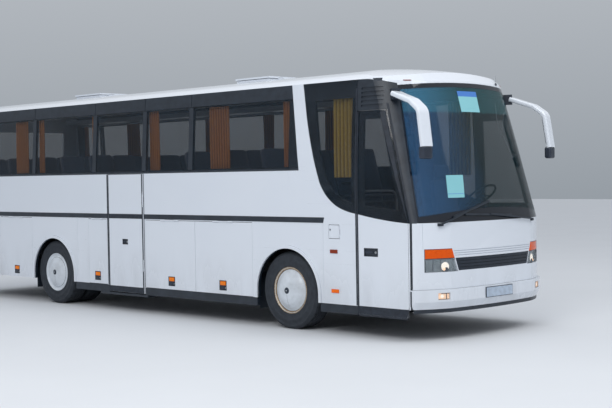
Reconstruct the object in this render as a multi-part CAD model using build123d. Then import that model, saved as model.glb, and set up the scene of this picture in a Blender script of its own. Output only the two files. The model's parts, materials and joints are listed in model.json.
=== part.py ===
from build123d import *
import math
import os

# Coach bus, left-hand drive, doors on the right. Sizes in millimetres.
# X runs forward, Y to the left, Z up; the origin is on the ground under the middle.

# Whole vehicle
LENGTH = 10700
WIDTH = 2500
HEIGHT = 3300
WHEELBASE = 5320
REAR_OVERHANG = 2960
FRONT_AXLE_X = -LENGTH / 2 + REAR_OVERHANG + WHEELBASE
REAR_AXLE_X = -LENGTH / 2 + REAR_OVERHANG
HALF = WIDTH / 2
GAP = 6                      # between a door or flap and its opening
RUN = 0.05                   # radial play of a pin in its bore
SEAT = 0.3                   # play where one piece rests on another

# Body shell
WALL = 45
GLASS = 10
TRIM_T = 42                  # deep plastic trims and lamp pockets; the rest of the wall backs them
SKIRT_Z = 380
BELT_Z = 1385
WAIST_Z = 2030
CANT_Z = 3108
SHOULDER_Z = 3190
SHOULDER_Y = 1000
LEAN_IN = 60
BUMPER_PROUD = 37
PLATE_T = 8
NOSE_X = LENGTH / 2 - PLATE_T - BUMPER_PROUD
TAIL_X = -LENGTH / 2 + 15
SPLIT_REAR_X = -5150
LOFT_BACK_X = 3000

# Front end in plan: one row a height, with each point as a distance behind the nose
# columns: z, nose, shoulder x, shoulder y, corner x, corner y from the side, side x
FRONT_PLAN = [
    (BELT_Z, 0, 56, 800, 225, 80, 345),
    (2200, 155, 225, 770, 415, 160, 625),
    (3070, 392, 477, 710, 667, 160, 884),
]
CAP_ROW = (3340, 712, 782, 690, 972, 160, 1174)
CORNER_BULGE = 22
BROW_BULGE = 17
ROOF_CROWN = 5750

# Floor, luggage hold and wheelhouses
DECK_Z = 1230
DECK_T = 50
HOLD_Z = 420
HOLD_X = (-1450, 2300)
CAB_Z = 900
CAB_X = 3640
HOUSE_Y = 490
HOUSE_T = 20
HOUSE_X = 690
REAR_HOUSE_X = -3020

# Wheels
TYRE_R = 496
TYRE_W = 298
BEAD_R = 286
TRACK_Y = 1045
TWIN_SPACE = 335
KINGPIN_Y = 860
KINGPIN_R = 22
SPINDLE_R = 40
SPINDLE_END = TRACK_Y + 165
AXLE_R = 95
AXLE_END = 90                # beyond the outer wheel's middle
ARCH_R = 562
ARCH_Z = 475
ARCH_LIP = 43
ARCH_PROUD = 14
FRONT_ARCH_X = FRONT_AXLE_X + 20
REAR_ARCH_X = REAR_AXLE_X + 35

# Glazing
BAND_Z = 2026
SILL_STRIP = 26
HEADER_Z = 2930
JOINT = 10
PILLAR = 70
# right side: ends of the panes, from the tail forwards
PANE_X = [-4900, -4420, -2890, -1230, 0, 1050, 3090]
BAND_END_TOP_X = 3040
BAND_END_FOOT_X = 3185
WINDSCREEN_FOOT_Z = BELT_Z + 2
WINDSCREEN_HEAD_Z = 3058
WINDSCREEN_ARCH = 13000
PILLAR_FOOT_X = 5070
PILLAR_HEAD_X = 4650
SEAM = 3
DOOR_HEAD_X = 4590

# Doors and flaps
DOOR_FOOT_Z = 285
DOOR_HEAD_Z = 2730
DOOR_REAR_X = 4170
DOOR_FRONT_X = 5000
MID_DOOR_X = (-885, -25)
MID_DOOR_HEAD_Z = 2018
FLAP_TOP_Z = 1354
FLAP_FOOT_Z = SKIRT_Z + 5
# columns: name, rear x, front x
RIGHT_FLAPS = [
    ("flap_right_service", -3930, -2970),
    ("flap_right_rear", -1400, -890 - 40),
    ("flap_right_middle", 20, 1130),
    ("flap_right_front", 1130, 2300),
]
LEFT_FLAPS = [
    ("flap_left_rear", -1400, -190),
    ("flap_left_middle", -190, 1130),
    ("flap_left_front", 1130, 2300),
]
LOCK_X = (-3443, -1176, 601, 1699)
LOCK_W = 150
LOCK_Z = (432, 567)
RECESS = 12
DOOR_HANDLE = ((4282, 4504), (983, 1083))
MID_HANDLE = ((-537, -407), (991, 1071))
FUEL_X = (3697, 3880)
FUEL_Z = (1180, 1354)
LID_Y = 900
LID_Z = (760, 1500)
HATCH_SIZE = (640, 700)
HATCH_X = {"roof_hatch_front": 1400, "roof_hatch_rear": -2600}
HATCH_T = 25
ROOF_SEAM_Y = 900

# Barrel hinge
BARREL_R = 9
HINGE_PIN_R = 5
BARREL_OUT = 4
BARREL_PLAY = 5

# Front door swing gear
POST_X = 4950
POST_Y = 1100
POST_R = 20
POST_Z = (455, 1425)
BEARING_T = 30
ARM_R = 14
ARM_Z = (600, 1290)
ARM_LENGTH = 420
DOOR_SWING = 150


def slab(x, y, z):
    """Box between two limits on each axis."""
    size = [b - a for a, b in (x, y, z)]
    middle = [(a + b) / 2 for a, b in (x, y, z)]
    return Pos(*middle) * Box(*size)


def mirror_y(shape):
    return mirror(shape, about=Plane.XZ)


def profile(points, plane, depth):
    """Outline in a plane, extruded both ways. A pair of points is an arc's middle and its end."""
    arcs = any(isinstance(p[0], tuple) for p in points)
    if not arcs:
        return extrude(make_face(plane * Polyline(*points, close=True)), amount=depth, both=True)
    edges = []
    here = points[0]
    for p in points[1:] + [points[0]]:
        if isinstance(p[0], tuple):
            edges.append(ThreePointArc(here, p[0], p[1]))
            here = p[1]
        else:
            edges.append(Line(here, p))
            here = p
    return extrude(make_face(plane * Wire(edges)), amount=depth, both=True)


def side_prism(points, y):
    """Outline given as x, z, carried through the stretch y."""
    plane = Plane(origin=(0, (y[0] + y[1]) / 2, 0), x_dir=(1, 0, 0), z_dir=(0, -1, 0))
    return profile(points, plane, (y[1] - y[0]) / 2)


def nose_prism(points, x):
    """Outline given as y, z, carried through the stretch x."""
    plane = Plane(origin=((x[0] + x[1]) / 2, 0, 0), x_dir=(0, 1, 0), z_dir=(1, 0, 0))
    return profile(points, plane, (x[1] - x[0]) / 2)


def rod(start, end, radius):
    a, b = Vector(*start), Vector(*end)
    plane = Plane(origin=a, z_dir=b - a)
    return extrude(plane * Circle(radius), amount=(b - a).length)


def bar(start, end, width, height):
    a, b = Vector(*start), Vector(*end)
    x_dir = Vector(0, 0, 1).cross(b - a) if abs((b - a).Z) < 0.99 * (b - a).length else Vector(0, 1, 0)
    plane = Plane(origin=a, x_dir=x_dir, z_dir=b - a)
    return extrude(plane * Rectangle(width, height), amount=(b - a).length)


def half_width(z, inset=0):
    lean = LEAN_IN * (z - WAIST_Z) / (CANT_Z - WAIST_Z) if z > WAIST_Z else 0
    return HALF - inset - lean


# Body form: a cross-section along X, cut by the front end in plan, the tail and the roof line

def cross_section(inset):
    """Walls, cant rails and crowned roof as one solid, set in by the inset."""
    low = SKIRT_Z if inset == 0 else SKIRT_Z - 100
    side = HALF - inset
    top = side - LEAN_IN
    cant = CANT_Z - 0.3 * inset
    knee = (SHOULDER_Y - 0.4 * inset, SHOULDER_Z - inset)
    bend = ((top + knee[0]) / 2 + 5, (cant + knee[1]) / 2 + 13)
    x = -LENGTH / 2 - 50

    def at(y, z):
        return Vector(x, y, z)

    edges = [
        Edge.make_line(at(-side, low), at(-side, WAIST_Z)),
        Edge.make_line(at(-side, WAIST_Z), at(-top, cant)),
        Edge.make_three_point_arc(at(-top, cant), at(-bend[0], bend[1]), at(-knee[0], knee[1])),
        Edge.make_three_point_arc(at(-knee[0], knee[1]), at(0, HEIGHT - inset), at(*knee)),
        Edge.make_three_point_arc(at(*knee), at(*bend), at(top, cant)),
        Edge.make_line(at(top, cant), at(side, WAIST_Z)),
        Edge.make_line(at(side, WAIST_Z), at(side, low)),
        Edge.make_line(at(side, low), at(-side, low)),
    ]
    return extrude(Face(Wire(edges)), amount=LENGTH + 100, dir=(1, 0, 0))


def bulged(a, b, bulge):
    """Middle of an arc from a to b, standing out to the right of its chord."""
    chord = b - a
    out = Vector(chord.Y, -chord.X, 0).normalized()
    return (a + b) / 2 + out * bulge


def front_section(row, inset, z=None, back=LOFT_BACK_X):
    """One plan outline of the front end at its height."""
    height, nose, shoulder_x, shoulder_y, corner_x, corner_in, side_x = row
    z = height if z is None else z
    wide = half_width(height, inset)
    side = Vector(NOSE_X - side_x - 0.3 * inset, -wide, z)
    corner = Vector(NOSE_X - corner_x - 0.75 * inset, -(wide - corner_in + 0.4 * inset), z)
    shoulder = Vector(NOSE_X - shoulder_x - 0.97 * inset, -(shoulder_y - 0.2 * inset), z)
    tip = Vector(NOSE_X - nose - inset, 0, z)

    def far(v):
        return Vector(v.X, -v.Y, v.Z)

    corner_mid = bulged(side, corner, CORNER_BULGE)
    brow_mid = bulged(corner, shoulder, BROW_BULGE)
    edges = [
        Edge.make_line(Vector(back, -wide, z), side),
        Edge.make_three_point_arc(side, corner_mid, corner),
        Edge.make_three_point_arc(corner, brow_mid, shoulder),
        Edge.make_three_point_arc(shoulder, tip, far(shoulder)),
        Edge.make_three_point_arc(far(shoulder), far(brow_mid), far(corner)),
        Edge.make_three_point_arc(far(corner), far(corner_mid), far(side)),
        Edge.make_line(far(side), Vector(back, wide, z)),
        Edge.make_line(Vector(back, wide, z), Vector(back, -wide, z)),
    ]
    return Wire(edges)


def front_end(inset):
    """Solid ahead of the loft's back plane: upright below the belt, raked above it."""
    low = SKIRT_Z - (0 if inset == 0 else 100)
    base = Face(front_section(FRONT_PLAN[0], inset, low))
    lower = extrude(base, amount=BELT_Z - low, dir=(0, 0, 1))
    screen = Solid.make_loft([front_section(row, inset) for row in FRONT_PLAN])
    cap = Solid.make_loft([front_section(FRONT_PLAN[-1], inset), front_section(CAP_ROW, inset)], True)
    return lower + screen + cap


def tail_end(inset):
    """Solid behind the loft's back plane, with rounded rear corners and a raked top."""
    low, radius = SKIRT_Z - 120, 190
    rear = TAIL_X + inset
    wide = HALF + 100 - inset
    block = slab((rear, LOFT_BACK_X), (-wide, wide), (low, HEIGHT + 100))
    corner = radius - inset
    edge = HALF - inset
    cut = slab((rear - 10, rear + corner), (edge - corner, wide + 10), (low - 10, HEIGHT + 110))
    cut -= Pos(rear + corner, edge - corner, HEIGHT / 2) * Cylinder(corner, HEIGHT * 2)
    block -= cut
    block -= mirror_y(cut)
    rake = [(rear - 200, 1600), (rear, 1600), (rear + 125, HEIGHT + 200), (rear - 200, HEIGHT + 200)]
    return block - side_prism(rake, (-HALF - 200, HALF + 200))


def roof_line(inset):
    """What lies above the roof's falling front and rear edges, as outlines turned about the crown's axis."""
    top = HEIGHT - inset
    axis = Axis((0, 0, HEIGHT - ROOF_CROWN), (1, 0, 0))
    sweep = 30

    def at(x, z):
        return Vector(x, 0, z)

    front = [
        Edge.make_three_point_arc(at(3600, top + 1), at(4300, top - 36), at(4950, top - 142)),
        Edge.make_line(at(4950, top - 142), at(5700, top - 400)),
        Edge.make_line(at(5700, top - 400), at(5700, top + 300)),
        Edge.make_line(at(5700, top + 300), at(3600, top + 300)),
        Edge.make_line(at(3600, top + 300), at(3600, top + 1)),
    ]
    rear = [
        Edge.make_three_point_arc(at(-4500, top + 1), at(-4950, top - 22), at(-5400, top - 110)),
        Edge.make_line(at(-5400, top - 110), at(-5700, top + 300)),
        Edge.make_line(at(-5700, top + 300), at(-4500, top + 300)),
        Edge.make_line(at(-4500, top + 300), at(-4500, top + 1)),
    ]
    return [revolve(Face(Wire(edges)).rotate(axis, -sweep / 2), axis, sweep) for edges in (front, rear)]


def hull(inset):
    """The whole body as one solid, set in by the inset."""
    form = cross_section(inset)
    front = form & front_end(inset)
    tail = form & tail_end(inset)
    above_front, above_rear = roof_line(inset)
    return (front - above_front) + (tail - above_rear)


OUTER = hull(0)
REBATE = hull(GLASS)
TRIM = hull(TRIM_T)
INNER = hull(WALL)
SHELL = OUTER - INNER


def skin(region, depth=REBATE):
    """Outer layer of the body inside a region."""
    return (OUTER & region) - depth


# Barrel hinges: a pin between two fixed knuckles, and a moving knuckle with its bore

def hinge(centre, along, length):
    """Fixed knuckles with their pin, the moving knuckle, and the room each needs."""
    axis = Vector(*along)
    middle = Vector(*centre)
    ends = (middle - axis * (length / 2), middle + axis * (length / 2))
    third = (middle - axis * (length / 4), middle + axis * (length / 4))
    pin = rod(ends[0], ends[1], HINGE_PIN_R)
    fixed = rod(ends[0], third[0], BARREL_R) + rod(third[1], ends[1], BARREL_R) + pin
    inside = (third[0] + axis * SEAT, third[1] - axis * SEAT)
    moving = rod(inside[0], inside[1], BARREL_R) - rod(ends[0], ends[1], HINGE_PIN_R + RUN)
    room_fixed = rod(third[0], third[1], BARREL_R + BARREL_PLAY)
    room_moving = (rod(ends[0] - axis * BARREL_PLAY, third[0], BARREL_R + BARREL_PLAY)
                   + rod(third[1], ends[1] + axis * BARREL_PLAY, BARREL_R + BARREL_PLAY)
                   + rod(third[0], third[1], HINGE_PIN_R + RUN))
    return fixed, moving, room_fixed, room_moving


def hang(leaf, hinges, centre, along, length):
    """Hang a leaf with one barrel hinge; its fixed half is noted for the frame."""
    fixed, moving, room_fixed, room_moving = hinge(centre, along, length)
    hinges.append((fixed, room_fixed))
    return (leaf - room_moving) + moving


def with_hinges(frame, hinges):
    """The frame with the fixed half of each hinge that hangs on it."""
    return (frame - [room for _, room in hinges]) + [fixed for fixed, _ in hinges]


# Openings in the right side wall, as x, z outlines

def leaning_edge(z):
    """Front edge of the front door, upright below the belt and raked above."""
    share = max(0, (z - BELT_Z) / (DOOR_HEAD_Z + 90 - BELT_Z))
    return DOOR_FRONT_X - share * (DOOR_FRONT_X - DOOR_HEAD_X)


def windscreen_edge(z):
    share = (z - BELT_Z) / (WINDSCREEN_HEAD_Z - BELT_Z)
    return PILLAR_FOOT_X - share * (PILLAR_FOOT_X - PILLAR_HEAD_X)


def door_outline(play=0):
    rear, low, high = DOOR_REAR_X + play, DOOR_FOOT_Z, DOOR_HEAD_Z - play
    return [
        (rear, low),
        (leaning_edge(low) - play, low),
        (leaning_edge(BELT_Z) - play, BELT_Z),
        (leaning_edge(high) - play, high),
        (rear, high),
    ]


QUARTER_FOOT = (3896, 1553)
QUARTER = [
    (3240, CANT_Z - 2), (3318, 2655), ((3412, 2278), (3545, 1878)), ((3690, 1680), QUARTER_FOOT),
    ((4032, 1512), (DOOR_REAR_X, 1488)), (DOOR_REAR_X, CANT_Z - 2),
]
# black field over the door: its upper edge falls towards the windscreen's corner
BLACK_TOP = [(4330, CANT_Z - 6), (4520, 3076), (PILLAR_HEAD_X, 3040)]
OVER_DOOR = [
    (DOOR_REAR_X, DOOR_HEAD_Z), (leaning_edge(DOOR_HEAD_Z), DOOR_HEAD_Z), (leaning_edge(3078), 3078),
    BLACK_TOP[0], (DOOR_REAR_X, CANT_Z - 2),
]
PILLAR_BLACK = [
    (leaning_edge(BELT_Z), BELT_Z), (windscreen_edge(BELT_Z) - SEAM, BELT_Z),
    (windscreen_edge(3040) - SEAM, 3040), (4520, 3076), (leaning_edge(3078), 3078),
    (leaning_edge(DOOR_HEAD_Z + 90), DOOR_HEAD_Z + 90),
]
DOOR_PANE = [
    (DOOR_REAR_X + GAP, 1487), ((4560, 1425), (leaning_edge(BELT_Z) - GAP, BELT_Z)),
    (leaning_edge(DOOR_HEAD_Z - GAP) - GAP, DOOR_HEAD_Z - GAP), (DOOR_REAR_X + GAP, DOOR_HEAD_Z - GAP),
]
QUARTER_HOLE = [
    (3440, 2890), (3530, 2278), (3650, 1900), (3800, 1740), (3950, 1660), (DOOR_REAR_X - 90, 1610),
    (DOOR_REAR_X - 90, 2890),
]
CAB_WINDOW_Z = (1560, 2640)
WINDOW_Z = (BAND_Z + SILL_STRIP + 20, HEADER_Z - 20)
PILLAR_X = 3300                # back of the pillar between the window band and the quarter window
PANEL_SEAM_X = (-1690, 3600)
LOUVRE_X = (4235, 4560)
LOUVRE_Z = (2770, 3030)
LOUVRES = 5
BAND = [
    (PANE_X[0], BAND_Z), (BAND_END_FOOT_X, BAND_Z), (BAND_END_TOP_X, CANT_Z - 2), (PANE_X[0], CANT_Z - 2),
]
INSIDE = (-HALF - 60, -HALF + 400)


def arch_cut(x, radius, y):
    cut = Pos(x, (y[0] + y[1]) / 2, ARCH_Z) * Rot(90, 0, 0) * Cylinder(radius, y[1] - y[0])
    return cut + slab((x - radius, x + radius), y, (100, ARCH_Z))


def arch_lip(x):
    """Raised ring round a wheel arch."""
    y = (-HALF - ARCH_PROUD, -HALF)
    ring = arch_cut(x, ARCH_R + ARCH_LIP, y) - arch_cut(x, ARCH_R, (y[0] - 5, y[1] + 5))
    return ring & slab((x - 700, x + 700), y, (SKIRT_Z, 1200))


def band_panes():
    """Panes of the window band with the joints between them, as x stretches."""
    return [(a + JOINT / 2, b - JOINT / 2) for a, b in zip(PANE_X[:-1], PANE_X[1:])]


def pane_outline(rear, front, low, high):
    if front < PANE_X[-1] - JOINT:
        return [(rear, low), (front, low), (front, high), (rear, high)]
    slope = (BAND_END_TOP_X - BAND_END_FOOT_X) / (CANT_Z - 2 - BAND_Z)
    foot = BAND_END_FOOT_X + slope * (low - BAND_Z)
    head = BAND_END_FOOT_X + slope * (high - BAND_Z)
    return [(rear, low), (foot, low), (head, high), (rear, high)]


def window_hole(rear, front):
    outline = pane_outline(rear + PILLAR / 2, front - PILLAR / 2, *WINDOW_Z)
    if front > PANE_X[-1] - JOINT:
        outline = [(x - (60 if x > 2500 else 0), z) for x, z in outline]
    return side_prism(outline, INSIDE)


def parted(solid, cuts):
    """Part a wall into its panels along thin slits, each given as x and z stretches."""
    return solid - [slab(x, (-HALF - 60, -600), z) for x, z in cuts]


def panel_cuts(door_side):
    """Slits between the panels of a side wall, along its pillars, belt and window frames."""
    top, rear, front = HEIGHT, SPLIT_REAR_X - 10, DOOR_REAR_X
    flap_line = FLAP_TOP_Z + GAP
    cuts = [
        ((DOOR_REAR_X - SEAT, DOOR_REAR_X), (0, top)),
        ((PILLAR_X - SEAT, PILLAR_X), (flap_line, top)),
        ((rear, front), (flap_line, flap_line + SEAT)),
        ((rear, PILLAR_X), (MID_DOOR_HEAD_Z + GAP, MID_DOOR_HEAD_Z + GAP + SEAT)),
        ((rear, PILLAR_X), (WINDOW_Z[0], WINDOW_Z[0] + SEAT)),
        ((rear, PILLAR_X), (WINDOW_Z[1] - SEAT, WINDOW_Z[1])),
    ]
    for z in (QUARTER_HOLE[0][1] - SEAT, QUARTER_HOLE[2][1], QUARTER_HOLE[-2][1]):
        cuts.append(((PILLAR_X, front), (z, z + SEAT)))
    eighth = ARCH_R * math.sin(math.radians(45))
    for limits in ((rear, LEFT_FLAPS[0][1]), (LEFT_FLAPS[-1][2], front)):
        for z in (ARCH_Z + eighth, ARCH_Z + ARCH_R):
            cuts.append((limits, (z, z + SEAT)))
    if not door_side:
        cuts += [((front, DOOR_FRONT_X), (z, z + SEAT)) for z in CAB_WINDOW_Z]
    return cuts


def side_wall(door_side):
    """One side wall, built on the right with its arches, windows and flap openings."""
    region = slab((SPLIT_REAR_X, LOFT_BACK_X + 2400), (-HALF - 20, -700), (SKIRT_Z - 20, CANT_Z))
    top = CANT_Z + 5
    ahead = [
        (DOOR_FRONT_X, 200), (DOOR_FRONT_X, BELT_Z), (leaning_edge(top), top), (5600, top), (5600, 200),
    ]
    wall = (SHELL & region) - side_prism(ahead, (-HALF - 30, -600))
    glazing = side_prism(BAND, INSIDE) + side_prism(QUARTER, INSIDE)
    wall -= glazing - REBATE
    wall -= [window_hole(rear, front) for rear, front in band_panes()] + [side_prism(QUARTER_HOLE, INSIDE)]
    for x in (FRONT_ARCH_X, REAR_ARCH_X):
        wall -= arch_cut(x, ARCH_R, (-HALF - 50, -HALF + 100))
        wall += arch_lip(x)
    wall -= side_prism(OVER_DOOR, INSIDE) - TRIM
    for x in PANEL_SEAM_X:
        wall -= slab((x - SEAM / 2, x + SEAM / 2), (-HALF - 1, -HALF + SEAM), (SKIRT_Z, FLAP_TOP_Z + GAP))
    flaps = RIGHT_FLAPS if door_side else LEFT_FLAPS
    flap_z = (SKIRT_Z - 50, FLAP_TOP_Z + GAP)
    wall -= [slab((rear, front), (-HALF - 50, -HALF + 100), flap_z) for _, rear, front in flaps]
    if door_side:
        wall -= side_prism(door_outline(), (-HALF - 50, -700))
        wall -= slab(MID_DOOR_X, (-HALF - 50, -HALF + 100), (100, MID_DOOR_HEAD_Z + GAP))
        wall -= slab(FUEL_X, (-HALF - 50, -HALF + 100), FUEL_Z)
    else:
        low, high = CAB_WINDOW_Z
        cab_window = [
            (DOOR_REAR_X + 60, low), (leaning_edge(low) - 70, low), (leaning_edge(high) - 70, high),
            (DOOR_REAR_X + 60, high),
        ]
        wall -= side_prism(cab_window, INSIDE)
        wall -= side_prism(DOOR_PANE, INSIDE) - REBATE
    return parted(wall, panel_cuts(door_side))


right_wall = side_wall(True)
left_wall = side_wall(False)

# Panes of the window bands, their headers and sill strips
side_panes = []
header_strips = []
for rear, front in band_panes():
    pane = side_prism(pane_outline(rear, front, BAND_Z + SILL_STRIP, HEADER_Z), INSIDE)
    header = side_prism(pane_outline(rear, front, HEADER_Z + 2, CANT_Z - 2), INSIDE)
    strip = side_prism(pane_outline(rear, front, BAND_Z, BAND_Z + SILL_STRIP), INSIDE)
    side_panes.append(skin(pane))
    header_strips.append(skin(header))
    header_strips.append(skin(strip))
side_panes.append(skin(side_prism(QUARTER, INSIDE)))
cab_pane = mirror_y(skin(side_prism(DOOR_PANE, INSIDE)))

# Black field over the door with its louvres, and the black pillars beside the windscreen
over_door = skin(side_prism(OVER_DOOR, INSIDE), TRIM)
pitch = (LOUVRE_Z[1] - LOUVRE_Z[0]) / LOUVRES
louvres_z = [LOUVRE_Z[0] + pitch * i for i in range(LOUVRES)]
over_door -= [slab(LOUVRE_X, (-HALF - 20, -HALF + 200), (z, z + 0.5 * pitch)) - REBATE for z in louvres_z]
pillar = skin(side_prism(PILLAR_BLACK, (-HALF - 60, -700)))
dark_field = [over_door, mirror_y(over_door), pillar, mirror_y(pillar)]

# Luggage flaps, service flap, fuel flap and middle door
parts = {}
side = -HALF - BARREL_OUT
right_hinges = []
left_hinges = []


def flap(rear, front, hinges):
    """One top-hinged flap with the recess for its lock."""
    leaf = slab((rear + GAP / 2, front - GAP / 2), (-HALF, -HALF + WALL), (FLAP_FOOT_Z, FLAP_TOP_Z))
    for x in LOCK_X:
        if rear < x < front:
            leaf -= slab((x - LOCK_W / 2, x + LOCK_W / 2), (-HALF - 1, -HALF + RECESS), LOCK_Z)
    centre = ((rear + front) / 2, side, FLAP_TOP_Z + GAP / 2)
    return hang(leaf, hinges, centre, (1, 0, 0), min(400, 0.6 * (front - rear)))


for name, rear, front in RIGHT_FLAPS:
    parts[name] = flap(rear, front, right_hinges)
for name, rear, front in LEFT_FLAPS:
    parts[name] = mirror_y(flap(rear, front, left_hinges))

leaf = slab((FUEL_X[0] + GAP, FUEL_X[1] - GAP), (-HALF, -HALF + WALL), (FUEL_Z[0] + GAP, FUEL_Z[1] - GAP))
centre = (FUEL_X[1] - GAP / 2, side, sum(FUEL_Z) / 2)
parts["fuel_flap"] = hang(leaf, right_hinges, centre, (0, 0, 1), 120)

leaf_x = (MID_DOOR_X[0] + GAP, MID_DOOR_X[1] - GAP)
leaf = slab(leaf_x, (-HALF, -HALF + WALL), (DOOR_FOOT_Z, MID_DOOR_HEAD_Z))
leaf -= slab(MID_HANDLE[0], (-HALF - 1, -HALF + RECESS), MID_HANDLE[1])
for z in (700, 1650):
    centre = (MID_DOOR_X[1] - GAP / 2, side, z)
    leaf = hang(leaf, right_hinges, centre, (0, 0, 1), 160)
parts["mid_door"] = leaf
parts["side_right"] = with_hinges(right_wall, right_hinges)
parts["side_left"] = mirror_y(with_hinges(left_wall, left_hinges))

# Front door leaf with its glass
leaf_region = side_prism(door_outline(GAP), (-HALF - 20, -700))
leaf = SHELL & leaf_region
low_leaf = slab((DOOR_REAR_X + GAP, DOOR_FRONT_X - 60), (-HALF, -HALF + WALL), (DOOR_FOOT_Z, SKIRT_Z))
leaf += low_leaf
hole = [(DOOR_REAR_X + 100, 1590), (leaning_edge(1550) - 100, 1530), (leaning_edge(2620) - 100, 2620),
        (DOOR_REAR_X + 100, 2620)]
leaf -= side_prism(DOOR_PANE, INSIDE) - REBATE
leaf -= side_prism(hole, INSIDE)
leaf -= slab(DOOR_HANDLE[0], (-HALF - 1, -HALF + RECESS), DOOR_HANDLE[1])
for z in (hole[1][1] + 60, hole[2][1]):
    leaf -= slab((DOOR_REAR_X, DOOR_FRONT_X), (-HALF - 20, -700), (z, z + SEAT))
leaves = [leaf]
parts["front_door_glass"] = skin(side_prism(DOOR_PANE, INSIDE))

# Swing gear: a post inside the front edge, two bowed arms, and a bracket on the leaf
ARM_OPEN = [(0, 0), (0, -165), (115, -240), (ARM_LENGTH * math.cos(math.radians(DOOR_SWING - 180)),
                                              ARM_LENGTH * math.sin(math.radians(DOOR_SWING - 180)))]


def turned(point, degrees):
    c, s = math.cos(math.radians(degrees)), math.sin(math.radians(degrees))
    return point[0] * c - point[1] * s, point[0] * s + point[1] * c


arm_rest = [turned(p, -DOOR_SWING) for p in ARM_OPEN]
post = rod((POST_X, -POST_Y, POST_Z[0]), (POST_X, -POST_Y, POST_Z[1]), POST_R)
PIVOT_X = POST_X - ARM_LENGTH
EYE_R = 22
EYE_H = 36
for z in ARM_Z:
    joints = [(POST_X + dx, -POST_Y + dy, z) for dx, dy in arm_rest]
    for a, b in zip(joints[:-1], joints[1:]):
        post += rod(a, b, ARM_R)
    for knee in joints[1:-1]:
        post += Pos(*knee) * Sphere(ARM_R)
    post += Pos(PIVOT_X, -POST_Y, z) * Cylinder(EYE_R, EYE_H)
    post += Pos(PIVOT_X, -POST_Y, z) * Cylinder(HINGE_PIN_R * 2, EYE_H + 60)
    for end in (-1, 1):
        low = z + end * (EYE_H / 2 + SEAT + 6)
        ear = slab((PIVOT_X - 25, PIVOT_X + 25), (-HALF + WALL + SEAT, -POST_Y + 20), (low - 6, low + 6))
        leaves.append(ear - Pos(PIVOT_X, -POST_Y, z) * Cylinder(HINGE_PIN_R * 2 + RUN, EYE_H + 80))
parts["front_door_post"] = post
bearings = []
for low in (POST_Z[0], POST_Z[1] - BEARING_T):
    block = slab((POST_X - 35, POST_X + 200), (-POST_Y - 35, -POST_Y + 35), (low, low + BEARING_T)) & INNER
    bearings.append(block - rod((POST_X, -POST_Y, 0), (POST_X, -POST_Y, 2000), POST_R + RUN))
parts["door_bearings"] = Compound(bearings)
parts["front_door"] = Compound(leaves)

# Roof with its two hatches
roof = SHELL & slab((SPLIT_REAR_X, 5400), (-HALF, HALF), (CANT_Z, HEIGHT + 50))
roof_hinges = []
for name, x in HATCH_X.items():
    long, wide = HATCH_SIZE
    well = slab((x - long / 2, x + long / 2), (-wide / 2, wide / 2), (HEIGHT - 120, HEIGHT + 60))
    lid_x = (x - long / 2 - 30, x + long / 2 + 30)
    lid_y = (-wide / 2 - 30, wide / 2 + 30)
    kerb_z = (HEIGHT - WALL, HEIGHT + 20)
    kerb = slab((x - long / 2 - 15, x + long / 2 + 15), (-wide / 2 - 15, wide / 2 + 15), kerb_z) - well
    roof = (roof - well) + (kerb - INNER)
    lid = slab(lid_x, lid_y, (kerb_z[1] + GAP, kerb_z[1] + GAP + HATCH_T))
    centre = (lid_x[1] - 6, 0, kerb_z[1] + GAP / 2)
    knuckle_foot = slab((x + long / 2 + 10, lid_x[1]), (-200, 200), (kerb_z[1] - 60, kerb_z[1] - 5))
    roof += knuckle_foot - INNER
    parts[name] = hang(lid, roof_hinges, centre, (0, 1, 0), 400)
# the roof's panels meet at slits beside the hatches and along the cant rails
roof_z = (CANT_Z - 10, HEIGHT + 60)
slits = [slab((x, x + SEAT), (-HALF, HALF), roof_z) for x in (-4500, 3600)]
for y in (HATCH_SIZE[1] / 2, ROOF_SEAM_Y):
    slits += [slab((SPLIT_REAR_X, 5400), sorted((s * y, s * (y + SEAT))), roof_z) for s in (-1, 1)]
parts["roof"] = with_hinges(roof - slits, roof_hinges)

# Nose: lamp pockets, grille pocket, ribs, pillars and screen frame
LAMP_OUT_Y = 1125
LAMP_Z = (812, 970, 1084)
LAMP_IN_Y = (694, 787)
GRILLE_Z = (820, 970)
GRILLE_Y = (684, 735)
RIB_Z = (996, 1022, 1048)
RIB = 9
BUMPER_Z = (SKIRT_Z + 5, 470, 612)
SCREEN_FRAME = 45
NOSE = (4900, 5400)


def lamp_inner(z):
    """Inner edge of a lamp unit, which leans in with the grille's end."""
    return LAMP_IN_Y[0] + (z - LAMP_Z[0]) / (LAMP_Z[2] - LAMP_Z[0]) * (LAMP_IN_Y[1] - LAMP_IN_Y[0])


def lamp_region(low, high):
    outline = [
        (-LAMP_OUT_Y, low), (-lamp_inner(low), low), (-lamp_inner(high), high), (-LAMP_OUT_Y, high),
    ]
    return nose_prism(outline, NOSE)


grille_outline = [
    (-GRILLE_Y[0], GRILLE_Z[0]), (GRILLE_Y[0], GRILLE_Z[0]), (GRILLE_Y[1], GRILLE_Z[1]),
    (-GRILLE_Y[1], GRILLE_Z[1]),
]
grille_shape = nose_prism(grille_outline, (5000, NOSE[1]))


def screen_prism(inset):
    """Windscreen in side view, set in all round, under its arched head."""
    low, high = WINDSCREEN_FOOT_Z + inset, WINDSCREEN_HEAD_Z - inset
    outline = [
        (windscreen_edge(low) + inset, low), (windscreen_edge(high) + inset, high), (5600, high), (5600, low),
    ]
    arch = Pos(5000, 0, high - WINDSCREEN_ARCH) * Rot(0, 90, 0) * Cylinder(WINDSCREEN_ARCH, 1400)
    return side_prism(outline, (-HALF, HALF)) & arch


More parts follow.
